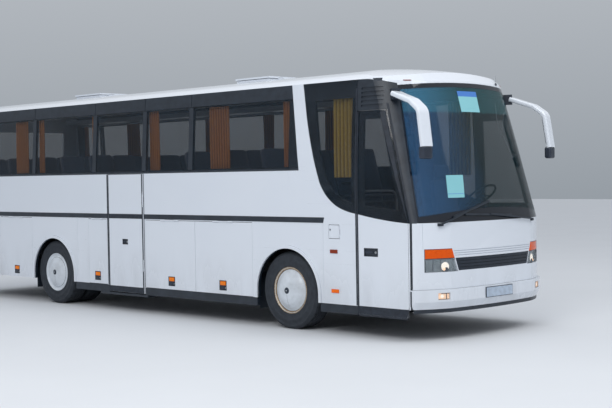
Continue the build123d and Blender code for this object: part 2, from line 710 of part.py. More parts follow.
top = CANT_Z + 5
behind = [
    (DOOR_FRONT_X, 200), (DOOR_FRONT_X, BELT_Z), (leaning_edge(top), top), (2500, top), (2500, 200),
]
mask = SHELL & slab((4000, 5500), (-HALF - 20, HALF + 20), (BUMPER_Z[2] + 2, CANT_Z))
mask -= side_prism(behind, (-HALF - 30, HALF + 30))
mask -= side_prism(PILLAR_BLACK, (-HALF - 30, HALF + 30)) - REBATE
mask -= screen_prism(0) - REBATE
mask -= screen_prism(SCREEN_FRAME)
lamps = {}
for key, low, high in (("headlamps", LAMP_Z[0], LAMP_Z[1]), ("turn_lamps", LAMP_Z[1], LAMP_Z[2])):
    region = lamp_region(low, high)
    lens = skin(region)
    lamps[key] = [lens, mirror_y(lens)]
    mask -= region - TRIM
    mask -= mirror_y(region) - TRIM
mask -= grille_shape
for z in RIB_Z:
    groove = slab((5000, NOSE[1]), (-lamp_inner(z) + 12, lamp_inner(z) - 12), (z, z + RIB))
    mask -= groove - REBATE
corner_y = -LAMP_OUT_Y - 15
for cut in (slab(NOSE, (corner_y, corner_y + SEAM), (LAMP_Z[2], BELT_Z)) - REBATE,
            slab(NOSE, (corner_y, corner_y + SEAT), (BUMPER_Z[2], BELT_Z))):
    mask -= cut
    mask -= mirror_y(cut)
for z in (BELT_Z, WINDSCREEN_HEAD_Z - 60):
    mask -= slab((4000, 5500), (-HALF, HALF), (z, z + SEAT))
parts["front_mask"] = mask
grille = skin(grille_shape, TRIM)
for i in range(3):
    z = GRILLE_Z[0] + 32 + 38 * i
    grille -= slab((5000, NOSE[1]), (-GRILLE_Y[0] + 12, GRILLE_Y[0] - 12), (z, z + RIB)) - REBATE
parts["grille"] = grille
parts["windscreen"] = skin(screen_prism(0))

# Bumper: tucks in under its widest line, over a dark lip, with a fog lamp near each end
row = FRONT_PLAN[0]
back = DOOR_FRONT_X - 60
FOG_Y = (855, 1005)
FOG_Z = (494, 573)
LIP_Z = (338, BUMPER_Z[0] - SEAT)
LIP_INSET = (12, 40)


def nose_block(inset, low, high):
    """The front end's plan below the belt, set in, between two heights."""
    section = Face(front_section(row, inset, low, back - 2 * abs(inset)))
    return extrude(section, amount=high - low, dir=(0, 0, 1))


tuck = Solid.make_loft([front_section(row, 0, BUMPER_Z[0], back),
                        front_section(row, -BUMPER_PROUD, BUMPER_Z[1], back)], True)
bumper = tuck + nose_block(-BUMPER_PROUD, BUMPER_Z[1], BUMPER_Z[2])
bumper -= nose_block(WALL, BUMPER_Z[0] - 50, 700)
bumper &= slab((DOOR_FRONT_X, 5500), (-HALF - 5, HALF + 5), (300, 700))
fog = slab(NOSE, (-FOG_Y[1], -FOG_Y[0]), FOG_Z)
fog_cut_z = (FOG_Z[0] - 1, FOG_Z[1] + 1)
fog_lens = fog & nose_block(-BUMPER_PROUD, *FOG_Z) - nose_block(GLASS - BUMPER_PROUD, *fog_cut_z)
fog_well = fog - nose_block(TRIM_T - BUMPER_PROUD, *fog_cut_z)
bumper -= fog_well
bumper -= mirror_y(fog_well)
lamps["headlamps"] += [fog_lens, mirror_y(fog_lens)]
parts["front_bumper"] = bumper
lip = nose_block(LIP_INSET[0], *LIP_Z) - nose_block(LIP_INSET[1], LIP_Z[0] - 1, LIP_Z[1] + 1)
lip &= slab((DOOR_FRONT_X + 20, 5500), (-HALF, HALF), (300, 700))
PLATE_Y = 260
PLATE_Z = (476, 588)
plate_x = (NOSE_X + BUMPER_PROUD, NOSE_X + BUMPER_PROUD + PLATE_T)
parts["number_plate"] = slab(plate_x, (-PLATE_Y, PLATE_Y), PLATE_Z)

# Tail: rear window, engine lid, lamps and bumper
REAR_BUMPER_Z = (SKIRT_Z, 700)
LAMP_T = 30
TAIL_LAMP_Y = (1010, 1190)
TAIL_LAMP_Z = (900, 1500)
REAR_PANE_Y = 950
REAR_PANE_Z = (1950, 2880)
PANE_FRAME = 60
tail_z = (REAR_BUMPER_Z[1] + 2, HEIGHT + 20)
tail = SHELL & slab((TAIL_X - 50, SPLIT_REAR_X), (-HALF - 20, HALF + 20), tail_z)
pane_x = (-5500, SPLIT_REAR_X + 5)
pane_box = slab(pane_x, (-REAR_PANE_Y, REAR_PANE_Y), REAR_PANE_Z)
tail -= pane_box - REBATE
hole_z = (REAR_PANE_Z[0] + PANE_FRAME, REAR_PANE_Z[1] - PANE_FRAME)
tail -= slab(pane_x, (-REAR_PANE_Y + PANE_FRAME, REAR_PANE_Y - PANE_FRAME), hole_z)
lid_hole = slab((-5500, SPLIT_REAR_X), (-LID_Y, LID_Y), LID_Z)
tail -= lid_hole
lid_z = (LID_Z[0] + GAP, LID_Z[1] - GAP)
lid = SHELL & slab((TAIL_X - 10, TAIL_X + 200), (-LID_Y + GAP, LID_Y - GAP), lid_z)
slots_z = [LID_Z[0] + 90 + 52 * i for i in range(9)]
lid -= [slab((TAIL_X - 10, TAIL_X + 60), (-620, 620), (z, z + 22)) for z in slots_z]
lid_hinges = []
parts["engine_lid"] = hang(lid, lid_hinges, (TAIL_X - BARREL_OUT, 0, LID_Z[1] - GAP / 2), (0, 1, 0), 500)
lamp_box = slab((-5500, -5100), (-TAIL_LAMP_Y[1], -TAIL_LAMP_Y[0]), TAIL_LAMP_Z)
lamp_back = hull(LAMP_T)
tail_lamp = skin(lamp_box, lamp_back)
tail -= [lamp_box - lamp_back, mirror_y(lamp_box) - lamp_back]
parts["rear_panel"] = with_hinges(tail, lid_hinges)
parts["tail_lamps"] = Compound([tail_lamp, mirror_y(tail_lamp)])
parts["rear_glass"] = skin(pane_box)
rear_bumper = tail_end(-15) - tail_end(WALL)
parts["rear_bumper"] = rear_bumper & slab((-LENGTH / 2, SPLIT_REAR_X), (-HALF, HALF), REAR_BUMPER_Z)

parts["side_glass"] = Compound(side_panes + [mirror_y(p) for p in side_panes] + [cab_pane])
parts["headlamps"] = Compound(lamps["headlamps"])
parts["turn_lamps"] = Compound(lamps["turn_lamps"])

# Black trims: window headers, sill strips, side stripe, skirt sills and door louvres
trims = header_strips + [mirror_y(s) for s in header_strips] + dark_field + [lip]
STRIPE_Z = (1372, 1440)
STRIPE_T = 3
STRIPE_FRONT_X = 3605
STRIPE_SLANT = 18


def stripe(rear, front, slant=0):
    outline = [(rear, STRIPE_Z[0]), (front, STRIPE_Z[0]), (front + slant, STRIPE_Z[1]), (rear, STRIPE_Z[1])]
    return side_prism(outline, (-HALF - STRIPE_T, -HALF))


trims.append(stripe(SPLIT_REAR_X, MID_DOOR_X[0] - 10))
trims.append(stripe(MID_DOOR_X[1] + 10, STRIPE_FRONT_X, STRIPE_SLANT))
trims.append(mirror_y(stripe(SPLIT_REAR_X, STRIPE_FRONT_X, STRIPE_SLANT)))
SILL_Z = 270
STEP_Z = (236, SILL_Z - SEAT)
trims.append(slab((MID_DOOR_X[0] - 240, MID_DOOR_X[1] + 60), (-HALF + 12, -HALF + 150), STEP_Z))
# the skirt behind the rear wheels has no sill under it
SILLS = [(REAR_ARCH_X + ARCH_R + 20, MID_DOOR_X[0] - 10), (MID_DOOR_X[1] + 10, FRONT_ARCH_X - ARCH_R - 20),
         (FRONT_ARCH_X + ARCH_R + 20, DOOR_REAR_X - 10)]
for rear, front in SILLS:
    sill = slab((rear, front), (-HALF + 10, -HALF + 100), (SKIRT_Z - 1, SKIRT_Z))
    sill += slab((rear, front), (-HALF + 10, -HALF + 60), (SILL_Z, SKIRT_Z))
    trims.append(sill)
    trims.append(mirror_y(sill))
parts["black_trims"] = Compound(trims)

# Wheels

def wheel_solid(points):
    """Ring turned about Y from a table of radius, y points."""
    face = make_face(Plane.XY * Polyline(*points, close=True))
    return revolve(face, axis=Axis.Y)


def tyre():
    """Plain tyre: bead, sidewalls and a flat tread."""
    w = TYRE_W / 2
    table = [
        (BEAD_R, 30 - w), (BEAD_R + 60, 5 - w), (TYRE_R - 70, 3 - w), (TYRE_R, 34 - w),
        (TYRE_R, w - 34), (TYRE_R - 70, w - 3), (BEAD_R + 60, w - 5), (BEAD_R, w - 30),
    ]
    return wheel_solid(table)


HUB_R = 145
FRONT_DOME_Y = 200
REAR_DOME_Y = 175


def dome(centre_y, edge_y):
    """Domed disc face from the centre to the rim's edge, as radius, y points."""
    steps = ((0, 1), (60, 0.985), (120, 0.9), (175, 0.7), (222, 0.38), (252, 0.1))
    return [(r, edge_y + share * (centre_y - edge_y)) for r, share in steps]


def rim_edge(w):
    """Outboard flange of a rim, from its seat for the tyre to the disc's edge."""
    return [(BEAD_R, w - 30), (BEAD_R + 16, w - 20), (BEAD_R + 10, w - 14), (BEAD_R - 18, w - 34)]


def front_rim():
    """Rim under a domed cover; its hub runs on the spindle. Outboard is +Y."""
    w = TYRE_W / 2
    end = SPINDLE_END - TRACK_Y + 6
    table = [
        (0, end), (SPINDLE_R + RUN, end), (SPINDLE_R + RUN, 10), (HUB_R, 10), (HUB_R + 25, 40), (240, 62),
        (BEAD_R - 18, 50), (BEAD_R - 18, 34 - w), (BEAD_R + 14, 14 - w), (BEAD_R + 16, 20 - w),
        (BEAD_R, 30 - w),
    ]
    return wheel_solid(table + rim_edge(w) + dome(FRONT_DOME_Y, 112)[::-1])


def rear_rim():
    """Two rims back to back on one hub; outboard is +Y, the outer wheel is at y 0."""
    w = TYRE_W / 2
    s = TWIN_SPACE
    table = [
        (0, AXLE_END + 6), (AXLE_R, AXLE_END + 6), (AXLE_R, 40 - s), (150, 40 - s), (150, -s / 2 - 40),
        (BEAD_R - 18, -s / 2 - 60), (BEAD_R - 18, 34 - s - w), (BEAD_R + 14, 14 - s - w),
        (BEAD_R + 16, 20 - s - w), (BEAD_R, 30 - s - w),
    ]
    return wheel_solid(table + rim_edge(w) + dome(REAR_DOME_Y, 108)[::-1])


for name, x in (("front", FRONT_AXLE_X), ("rear", REAR_AXLE_X)):
    place = Pos(x, TRACK_Y, TYRE_R)
    rim = front_rim() if name == "front" else rear_rim()
    tyres = [place * tyre()]
    if name == "rear":
        tyres.append(Pos(x, TRACK_Y - TWIN_SPACE, TYRE_R) * tyre())
    rim = place * rim
    parts[f"tyre_{name}_left"] = Compound(tyres) if len(tyres) > 1 else tyres[0]
    parts[f"rim_{name}_left"] = rim
    far_tyres = [mirror_y(t) for t in tyres]
    parts[f"tyre_{name}_right"] = Compound(far_tyres) if len(tyres) > 1 else far_tyres[0]
    parts[f"rim_{name}_right"] = mirror_y(rim)

# Front axle, knuckles and rear axle
EYE_HALF = 65
axle_z = TYRE_R
beam = bar((FRONT_AXLE_X, -600, axle_z - 60), (FRONT_AXLE_X, 600, axle_z - 60), 110, 100)
for s in (-1, 1):
    eye = Pos(FRONT_AXLE_X, s * KINGPIN_Y, axle_z) * Cylinder(48, 2 * EYE_HALF)
    neck_ends = [(FRONT_AXLE_X, s * 590, axle_z - 60), (FRONT_AXLE_X, s * (KINGPIN_Y - 20), axle_z - 10)]
    neck = bar(*neck_ends, 90, 80)
    beam += eye + neck
for s in (-1, 1):
    beam -= Pos(FRONT_AXLE_X, s * KINGPIN_Y, axle_z) * Cylinder(KINGPIN_R + RUN, 4 * EYE_HALF)
RAIL_Z = (655, 835)
RAIL_W = 80
SPRING_Y = 400
spring_y = [(s * SPRING_Y - 50, s * SPRING_Y + 50) for s in (-1, 1)]
for y in spring_y:
    beam += slab((FRONT_AXLE_X - 70, FRONT_AXLE_X + 70), y, (axle_z - 20, RAIL_Z[0]))
parts["front_axle"] = beam

knuckle = Pos(FRONT_AXLE_X, KINGPIN_Y, axle_z) * Cylinder(KINGPIN_R, 2 * EYE_HALF + 80)
for end in (-1, 1):
    z = axle_z + end * (EYE_HALF + SEAT + 15)
    ear_y = (KINGPIN_Y - 40, KINGPIN_Y + 75)
    knuckle += slab((FRONT_AXLE_X - 42, FRONT_AXLE_X + 42), ear_y, (z - 15, z + 15))
knuckle += slab((FRONT_AXLE_X - 60, FRONT_AXLE_X + 60), (KINGPIN_Y + 55, KINGPIN_Y + 90),
                (axle_z - EYE_HALF - 30, axle_z + EYE_HALF + 30))
knuckle += rod((FRONT_AXLE_X, KINGPIN_Y + 80, axle_z), (FRONT_AXLE_X, SPINDLE_END, axle_z), SPINDLE_R)
drum_y = (KINGPIN_Y + 85, TRACK_Y)
drum = rod((FRONT_AXLE_X, drum_y[0], axle_z), (FRONT_AXLE_X, drum_y[1], axle_z), 205)
parts["knuckle_left"] = knuckle + drum
parts["knuckle_right"] = mirror_y(parts["knuckle_left"])

axle_y = TRACK_Y + AXLE_END
axle = rod((REAR_AXLE_X, -axle_y, axle_z), (REAR_AXLE_X, axle_y, axle_z), AXLE_R - RUN)
axle += rod((REAR_AXLE_X, -160, axle_z), (REAR_AXLE_X, 160, axle_z), 190)
axle += rod((REAR_AXLE_X, 0, axle_z), (REAR_AXLE_X - 260, 0, axle_z), 110)
for s in (-1, 1):
    axle += rod((REAR_AXLE_X, s * (TRACK_Y - TWIN_SPACE - 90), axle_z), (REAR_AXLE_X, s * 560, axle_z), 205)
for y in spring_y:
    axle += slab((REAR_AXLE_X - 80, REAR_AXLE_X + 80), y, (axle_z, RAIL_Z[0]))
parts["rear_axle"] = axle

# Frame rails, cross members, towing jaw, engine and tank
# columns: rear end, middle cross member, front end
RAILS = [(-5080, -2880, HOLD_X[0]), (HOLD_X[1], 3700, 5040)]
TOW_Z = 745
TOW_R = 21
TOW_X = 5130
JAW = (5175, 60, 15)         # front end, half width, half height
JACK_PAD = (3500, -3400)
PAD = (120, RAIL_W, 12)
frame = []
for rear, middle, front in RAILS:
    for s in (-1, 1):
        rail = slab((rear, front), (s * SPRING_Y - RAIL_W / 2, s * SPRING_Y + RAIL_W / 2), RAIL_Z)
        for x in JACK_PAD:
            if rear < x < front:
                rail += Pos(x, s * SPRING_Y, RAIL_Z[0] - PAD[2] / 2) * Box(*PAD)
        frame.append(rail)
    between = SPRING_Y - RAIL_W / 2 - SEAT
    for x in (rear + 40, middle, front - 40):
        frame.append(slab((x - 40, x + 40), (-between, between), (RAIL_Z[0] + 20, RAIL_Z[1] - 20)))
jaw = slab((RAILS[1][2] + SEAT, JAW[0]), (-JAW[1], JAW[1]), (TOW_Z - JAW[2], TOW_Z + JAW[2]))
frame.append(jaw - rod((TOW_X, 0, TOW_Z - 50), (TOW_X, 0, TOW_Z + 50), TOW_R))
parts["chassis_frame"] = Compound(frame)
parts["fuel_tank"] = slab((CAB_X + HOUSE_T, 4130), (-1130, -520), (450, CAB_Z - 40))
ENGINE_X = (-4950, -3750)
engine = slab(ENGINE_X, (-SPRING_Y + RAIL_W / 2, SPRING_Y - RAIL_W / 2), (430, 1120))
engine += slab((ENGINE_X[1], -3050), (-200, 200), (450, 800))
engine += rod((-3050, 0, 560), (REAR_AXLE_X - 260 - SEAT, 0, axle_z), 50)
parts["engine"] = engine - axle

# Floor: decks, hold, bulkheads, wheelhouses, cab floor, steps and stairwell, as plates resting on each other
wall_y = HALF - WALL
UNDER_DECK = DECK_Z - DECK_T - SEAT
WELL_Y = -560                # inner side of the middle stairwell
PANEL_T = 30
plates = []
rear_x, front_x = MID_DOOR_X
deck_z = (DECK_Z - DECK_T, DECK_Z)
plates.append(slab((SPLIT_REAR_X, rear_x - SEAT), (-wall_y, wall_y), deck_z))
plates.append(slab((rear_x, front_x), (WELL_Y, wall_y), deck_z))
plates.append(slab((front_x + SEAT, CAB_X - SEAT), (-wall_y, wall_y), deck_z))
plates.append(slab(HOLD_X, (-wall_y, wall_y), (SKIRT_Z, HOLD_Z)))
for x in (HOLD_X[0], HOLD_X[1] - HOUSE_T):
    plates.append(slab((x, x + HOUSE_T), (-wall_y, wall_y), (HOLD_Z + SEAT, UNDER_DECK)))
HOUSES = [(REAR_AXLE_X - HOUSE_X, REAR_AXLE_X + HOUSE_X), (HOLD_X[1] + SEAT, CAB_X - SEAT)]
for s in (-1, 1):
    for stretch in HOUSES:
        y = sorted((s * HOUSE_Y, s * (HOUSE_Y - HOUSE_T)))
        plates.append(slab(stretch, y, (RAIL_Z[1] + 20, UNDER_DECK)))
    y = sorted((s * (HOUSE_Y + SEAT), s * wall_y))
    plates.append(slab((REAR_HOUSE_X - HOUSE_T, REAR_HOUSE_X), y, (SKIRT_Z, UNDER_DECK)))
bulkhead = slab((CAB_X, CAB_X + HOUSE_T), (-wall_y, wall_y), (SKIRT_Z + 60, DECK_Z))
for s in (-1, 1):
    rail_y = (s * SPRING_Y - RAIL_W / 2, s * SPRING_Y + RAIL_W / 2)
    bulkhead -= slab((CAB_X - 10, CAB_X + 50), rail_y, RAIL_Z)
plates.append(bulkhead)
# front stairs: the cab floor stands above them on its left and rear
STAIR_X = (4160, 4930)
CAB_T = 40
cab_z = (CAB_Z - CAB_T, CAB_Z)
riser_y = (-HOUSE_Y - HOUSE_T, -HOUSE_Y - SEAT)
plates.append(slab((CAB_X + HOUSE_T + SEAT, 5000), (-HOUSE_Y, wall_y), cab_z))
plates.append(slab((CAB_X + HOUSE_T + SEAT, STAIR_X[0]), (-wall_y, -HOUSE_Y - SEAT), cab_z))
plates.append(slab((STAIR_X[0] + SEAT, STAIR_X[1]), riser_y, (400, CAB_Z)))
plates.append(slab((STAIR_X[0] + SEAT, STAIR_X[0] + PANEL_T), (-1190, riser_y[0] - SEAT), (400, CAB_Z)))
for y, z in ((-1190, 430), (-850, 660)):
    plates.append(slab((STAIR_X[0] + PANEL_T + SEAT, STAIR_X[1]), (y, riser_y[0] - SEAT), (z - PANEL_T, z)))
# middle stairs
well_x = (MID_DOOR_X[0] + 5, MID_DOOR_X[1] - 5)
for x in (well_x[0] - PANEL_T, well_x[1]):
    plates.append(slab((x, x + PANEL_T), (-wall_y, WELL_Y), (HOLD_Z + SEAT, UNDER_DECK)))
inside_x = (well_x[0] + SEAT, well_x[1] - SEAT)
plates.append(slab(inside_x, (WELL_Y - PANEL_T, WELL_Y), (HOLD_Z + SEAT, UNDER_DECK)))
for i, z in enumerate((640, 860, 1080)):
    plates.append(slab(inside_x, (-1000 + 145 * i, WELL_Y - PANEL_T - SEAT), (z - PANEL_T, z)))
parts["floor_deck"] = Compound([plate & INNER for plate in plates])

# Seats, driver's seat, dash and wheel
SEAT_PITCH = 780
SEAT_W = 860


# side outlines of a seat, from its row's place and the deck
SEAT_BASE = [(-230, 330), (220, 350), (220, 460), (-140, 440), (-254, 434), (-250, 420)]
SEAT_BACK = [(-254, 434 + SEAT), (-140, 440 + SEAT), (-330, 1130), (-430, 1130)]


def seat_pair(x, s):
    """One double seat: its cushion on a pedestal, and its raked back."""
    y = sorted((s * 240, s * (240 + SEAT_W)))
    base = side_prism([(x + a, DECK_Z + b) for a, b in SEAT_BASE], y)
    rest = side_prism([(x + a, DECK_Z + b) for a, b in SEAT_BACK], y)
    leg_z = (DECK_Z + SEAT, DECK_Z + 400)
    pedestal = slab((x - 150, x + 150), (y[0] + 200, y[1] - 200), leg_z)
    return [base + pedestal, rest]


rows = [2700 - SEAT_PITCH * i for i in range(10)]
pairs = []
for x in rows:
    pairs += seat_pair(x, 1)
    if not MID_DOOR_X[0] - 300 < x < MID_DOOR_X[1] + 400:
        pairs += seat_pair(x, -1)
parts["passenger_seats"] = Compound(pairs)
DRIVE_X, DRIVE_Y = 4230, 640
DRIVER_BACK = [(-230, 380), (-120, 460), (-230, 1200), (-330, 1200)]
seat = slab((DRIVE_X - 230, DRIVE_X + 240), (DRIVE_Y - 250, DRIVE_Y + 250), (CAB_Z + 340, CAB_Z + 460))
seat += side_prism([(DRIVE_X + a, CAB_Z + b) for a, b in DRIVER_BACK], (DRIVE_Y - 240, DRIVE_Y + 240))
seat += slab((DRIVE_X - 150, DRIVE_X + 150), (DRIVE_Y - 150, DRIVE_Y + 150), (CAB_Z + SEAT, CAB_Z + 350))
parts["driver_seat"] = seat
dash_back = hull(80)
dash = dash_back & slab((4640, 5400), (-HALF, HALF), (CAB_Z + 200, BELT_Z + 20))
dash -= slab((4000, 4990), (-HALF - 10, -200), (300, 1600))
dash -= slab((4000, 4860), (1050, HALF + 10), (300, 1600))
dash -= slab((4000, 5200), (-HALF, -POST_Y + 60), (300, 1600))
dash += slab((4880, 4960), (-150, 150), (CAB_Z, CAB_Z + 210))
parts["dashboard"] = dash
column_top = (4590, DRIVE_Y, CAB_Z + 760)
column_foot = (4790, DRIVE_Y, CAB_Z + 505)
column = rod((4790, DRIVE_Y, CAB_Z + 505 + SEAT), column_top, 26)
axis_dir = Vector(*column_top) - Vector(*column_foot)
ring_plane = Plane(origin=column_top, z_dir=axis_dir)
RING_R = 225
grip = Plane.XZ * Pos(RING_R, 0) * RegularPolygon(14, 8)
column += ring_plane * revolve(grip, axis=Axis.Z)
for turn in (90, 210, 330):
    c, s = math.cos(math.radians(turn)), math.sin(math.radians(turn))
    spoke_end = ring_plane.from_local_coords(Vector((RING_R - 7) * c, (RING_R - 7) * s, 0))
    column += rod(column_top, spoke_end, 10)
parts["steering_wheel"] = column - dash

# Luggage racks under the roof, on both sides
RACK_Z = 2950
shelf = slab((-4950, 3000), (-1175, -775 - SEAT), (RACK_Z, RACK_Z + 25)) & INNER
edge = slab((-4950, 3000), (-775, -760), (RACK_Z, RACK_Z + 80))
parts["luggage_racks"] = Compound([shelf, edge, mirror_y(shelf), mirror_y(edge)])

# Curtains gathered beside the pillars, on a rail
CURTAIN_Z = (2060, 2925)
# columns: rear x, front x on the right side
CURTAINS = [
    (-4890, -4760), (-3570, -3200), (-2880, -2730), (-1410, -1290), (10, 240), (1350, 1760), (2810, 3030),
]
CURTAIN_Y = (-1147, -1117)
QUARTER_CURTAIN = ((3690, 4080), 1700)
curtains = [slab(x, CURTAIN_Y, CURTAIN_Z) for x in CURTAINS]
curtains.append(slab(QUARTER_CURTAIN[0], CURTAIN_Y, (QUARTER_CURTAIN[1], CURTAIN_Z[1])))
rail = slab((-4950, 4090), (-1153, -1113), (CURTAIN_Z[1], CURTAIN_Z[1] + 18))
curtains += [mirror_y(c) for c in curtains]
parts["curtains"] = Compound(curtains)
parts["curtain_rails"] = Compound([rail, mirror_y(rail)])

# Mirrors: a hanging housing of flat section in an upright plane, a bracket at its root, a dark head below
MIRROR_ROOT = (4735, 1148, 0)
MIRROR_AIM = (540, 100, 0)
# housing's middle line: distance along the aim, z
MIRROR_LINE = [(0, 2906), (320, 2800), (475, 2690), (540, 2268)]
MIRROR_BEND_R = 110
HOUSING = (165, 60, 24)
arm_plane = Plane(origin=MIRROR_ROOT, x_dir=MIRROR_AIM, z_dir=(MIRROR_AIM[1], -MIRROR_AIM[0], 0))
line = Wire((arm_plane * FilletPolyline(*MIRROR_LINE, radius=MIRROR_BEND_R)).edges())
section = Plane(origin=line @ 0, x_dir=arm_plane.z_dir, z_dir=line % 0) * RectangleRounded(*HOUSING)
arm = sweep(section, path=line) - OUTER
bracket = bar((4600, 1050, 2900), (4742, 1152, 2904), 92, 130) - OUTER - arm
head = fillet(Box(86, 148, 150).edges(), 24)
head = arm_plane * Pos(MIRROR_LINE[-1][0] - 16, MIRROR_LINE[-1][1] - 66, 0) * head - arm
parts["mirror_arms"] = Compound([arm, mirror_y(arm)])
parts["mirror_heads"] = Compound([bracket, head, mirror_y(bracket), mirror_y(head)])

# Wipers: blades on the glass, arms over them, and pivots below the glass
BLADE_OUT, ARM_OUT = 20, 32
# columns: pivot y, z; arm's end y, z; blade's ends y, z
WIPERS = [
    ((-950, 1372), (-430, 1543), (-760, 1450), (-100, 1618)),
    ((820, 1372), (-120, 1466), (330, 1440), (-560, 1474)),
]
blade_form = hull(-BLADE_OUT)
arm_form = hull(-ARM_OUT)
blade_layer = blade_form - OUTER
arm_layer = arm_form - blade_form


def strip(a, b, width):
    """Straight band between two points of the front view."""
    along = (Vector(*b) - Vector(*a)).normalized()
    off = Vector(-along.Y, along.X) * (width / 2)
    ends = [Vector(*a) - off, Vector(*b) - off, Vector(*b) + off, Vector(*a) + off]
    return nose_prism([(v.X, v.Y) for v in ends], NOSE)


wipers = []
for pivot, tip, heel, toe in WIPERS:
    boss = slab(NOSE, (pivot[0] - 24, pivot[0] + 24), (pivot[1] - 24, pivot[1] + 10)) & arm_form
    wipers.append(strip(heel, toe, 24) & blade_layer)
    wipers.append((strip(pivot, tip, 20) & arm_layer) + (boss - OUTER))
parts["wipers"] = Compound(wipers)

# Side marker lamps and mudflaps
# columns: x, z
MARKERS = [(3798, 540), (3783, 1025)]
MARKER = (120, 10, 44)
markers = [Pos(x, -HALF - MARKER[1] / 2, z) * Box(*MARKER) for x, z in MARKERS]
markers += [mirror_y(m) for m in markers]
parts["side_markers"] = Compound(markers)
flaps = []
for x in (HOLD_X[1], REAR_HOUSE_X):
    for s in (-1, 1):
        y = sorted((s * 880, s * 1140))
        flaps.append(slab((x + SEAT, x + SEAT + 10), y, (220, 700)))
parts["mudflaps"] = Compound(flaps)

os.makedirs("parts", exist_ok=True)
for name, shape in parts.items():
    export_step(shape, f"parts/{name}.step")
print(len(parts), "nodes")
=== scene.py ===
import json
import math

import bmesh
import bpy
from mathutils import Matrix, Vector
from mathutils.bvhtree import BVHTree


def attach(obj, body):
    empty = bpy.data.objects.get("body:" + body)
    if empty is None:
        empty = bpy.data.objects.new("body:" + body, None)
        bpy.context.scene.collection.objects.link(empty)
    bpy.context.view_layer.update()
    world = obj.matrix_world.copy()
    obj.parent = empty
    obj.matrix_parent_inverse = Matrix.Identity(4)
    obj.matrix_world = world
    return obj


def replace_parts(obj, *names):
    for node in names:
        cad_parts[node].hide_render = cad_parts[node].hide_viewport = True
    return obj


# Dressing of the coach: finishes for the built pieces, and the parts that are too fine for the construction.
# Metres; X forward, Y to the vehicle's left, Z up.

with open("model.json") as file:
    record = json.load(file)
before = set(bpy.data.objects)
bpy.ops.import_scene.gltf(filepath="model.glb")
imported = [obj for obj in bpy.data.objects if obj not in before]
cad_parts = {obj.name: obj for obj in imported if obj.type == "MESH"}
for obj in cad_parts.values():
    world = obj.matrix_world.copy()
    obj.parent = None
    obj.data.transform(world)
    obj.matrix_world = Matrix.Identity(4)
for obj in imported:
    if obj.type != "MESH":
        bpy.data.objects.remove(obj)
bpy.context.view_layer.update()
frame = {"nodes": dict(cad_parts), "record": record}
nodes = frame["nodes"]
MM = 0.001

# Camera, found from the wheels, door lines and vanishing points of the photograph
EYE = Vector((14.1888, -12.0773, 1.9706))
YAW, PITCH, ROLL = math.radians(135.1346), math.radians(-1.3659), math.radians(-0.9653)
FOCAL_PX, PICTURE_PX = 1226.32, 612
SENSOR = 36.0

# Where the construction has its pieces
WALL_Y = 1.250
# above the waist the walls lean in, up to the cant rail
WAIST_Z, CANT_Z, LEAN_IN = 2.030, 3.108, 0.060
# rays that lay trim on the body start ahead of the nose or beside the right wall
AHEAD_X, BESIDE_Y = 5.5, -1.4
# the windscreen's head is arched: it drops by y squared over this length
SCREEN_ARCH = 26
AXLE_X = {"front": 2.930, "rear": -2.390}
TRACK_Y = 1.045
TWIN_SPACE = 0.335
WHEEL_Z = 0.496
DOME = {
    "front": [(0, 0.200), (0.060, 0.1987), (0.120, 0.1912), (0.175, 0.1736), (0.222, 0.1454), (0.252, 0.1208)],
    "rear": [(0, 0.175), (0.060, 0.1740), (0.120, 0.1683), (0.175, 0.1549), (0.222, 0.1335), (0.252, 0.1147)],
}
RECESS = 0.012
LOCK_Z = (0.432, 0.567)
# columns: flap, side, middle of its lock along X
LOCKS = [
    ("flap_right_service", -1, -3.443), ("flap_right_rear", -1, -1.176), ("flap_right_middle", -1, 0.601),
    ("flap_right_front", -1, 1.699), ("flap_left_rear", 1, -1.176), ("flap_left_middle", 1, 0.601),
    ("flap_left_front", 1, 1.699),
]
STRIPE_Z = (1.372, 1.440)
BELT_Z = 1.385
DECK_Z, CAB_Z = 1.230, 0.900
CURTAIN_Y = 1.132
SEAT_ROWS, SEAT_PITCH, FIRST_SEAT_X = 10, 0.780, 2.700
SEAT_Y = (0.240, 1.100)
SEAT_LEAN = -15.5
# no seats on the right here, above the middle door's stairs
STAIRS_X = (-1.185, 0.375)
DRIVER = (4.230, 0.640)
DRIVER_LEAN = -8


def make_camera():
    """Camera of the photograph: its place, turn and focal length."""
    look = Vector((math.cos(YAW) * math.cos(PITCH), math.sin(YAW) * math.cos(PITCH), math.sin(PITCH)))
    right = look.cross(Vector((0, 0, 1))).normalized()
    up = right.cross(look)
    level = math.cos(ROLL) * right + math.sin(ROLL) * up
    crown = math.cos(ROLL) * up - math.sin(ROLL) * right
    data = bpy.data.cameras.new("camera")
    data.lens = FOCAL_PX * SENSOR / PICTURE_PX
    data.sensor_width = SENSOR
    data.clip_end = 200
    camera = bpy.data.objects.new("camera", data)
    turn = Matrix((level, crown, -look)).transposed()
    camera.matrix_world = Matrix.Translation(EYE) @ turn.to_4x4()
    bpy.context.scene.collection.objects.link(camera)
    bpy.context.scene.camera = camera


# Materials

def srgb(hex_colour):
    """Linear RGBA of a colour given as #RRGGBB."""
    out = []
    for i in (1, 3, 5):
        c = int(hex_colour[i:i + 2], 16) / 255
        out.append(c / 12.92 if c <= 0.04045 else ((c + 0.055) / 1.055) ** 2.4)
    return (*out, 1.0)


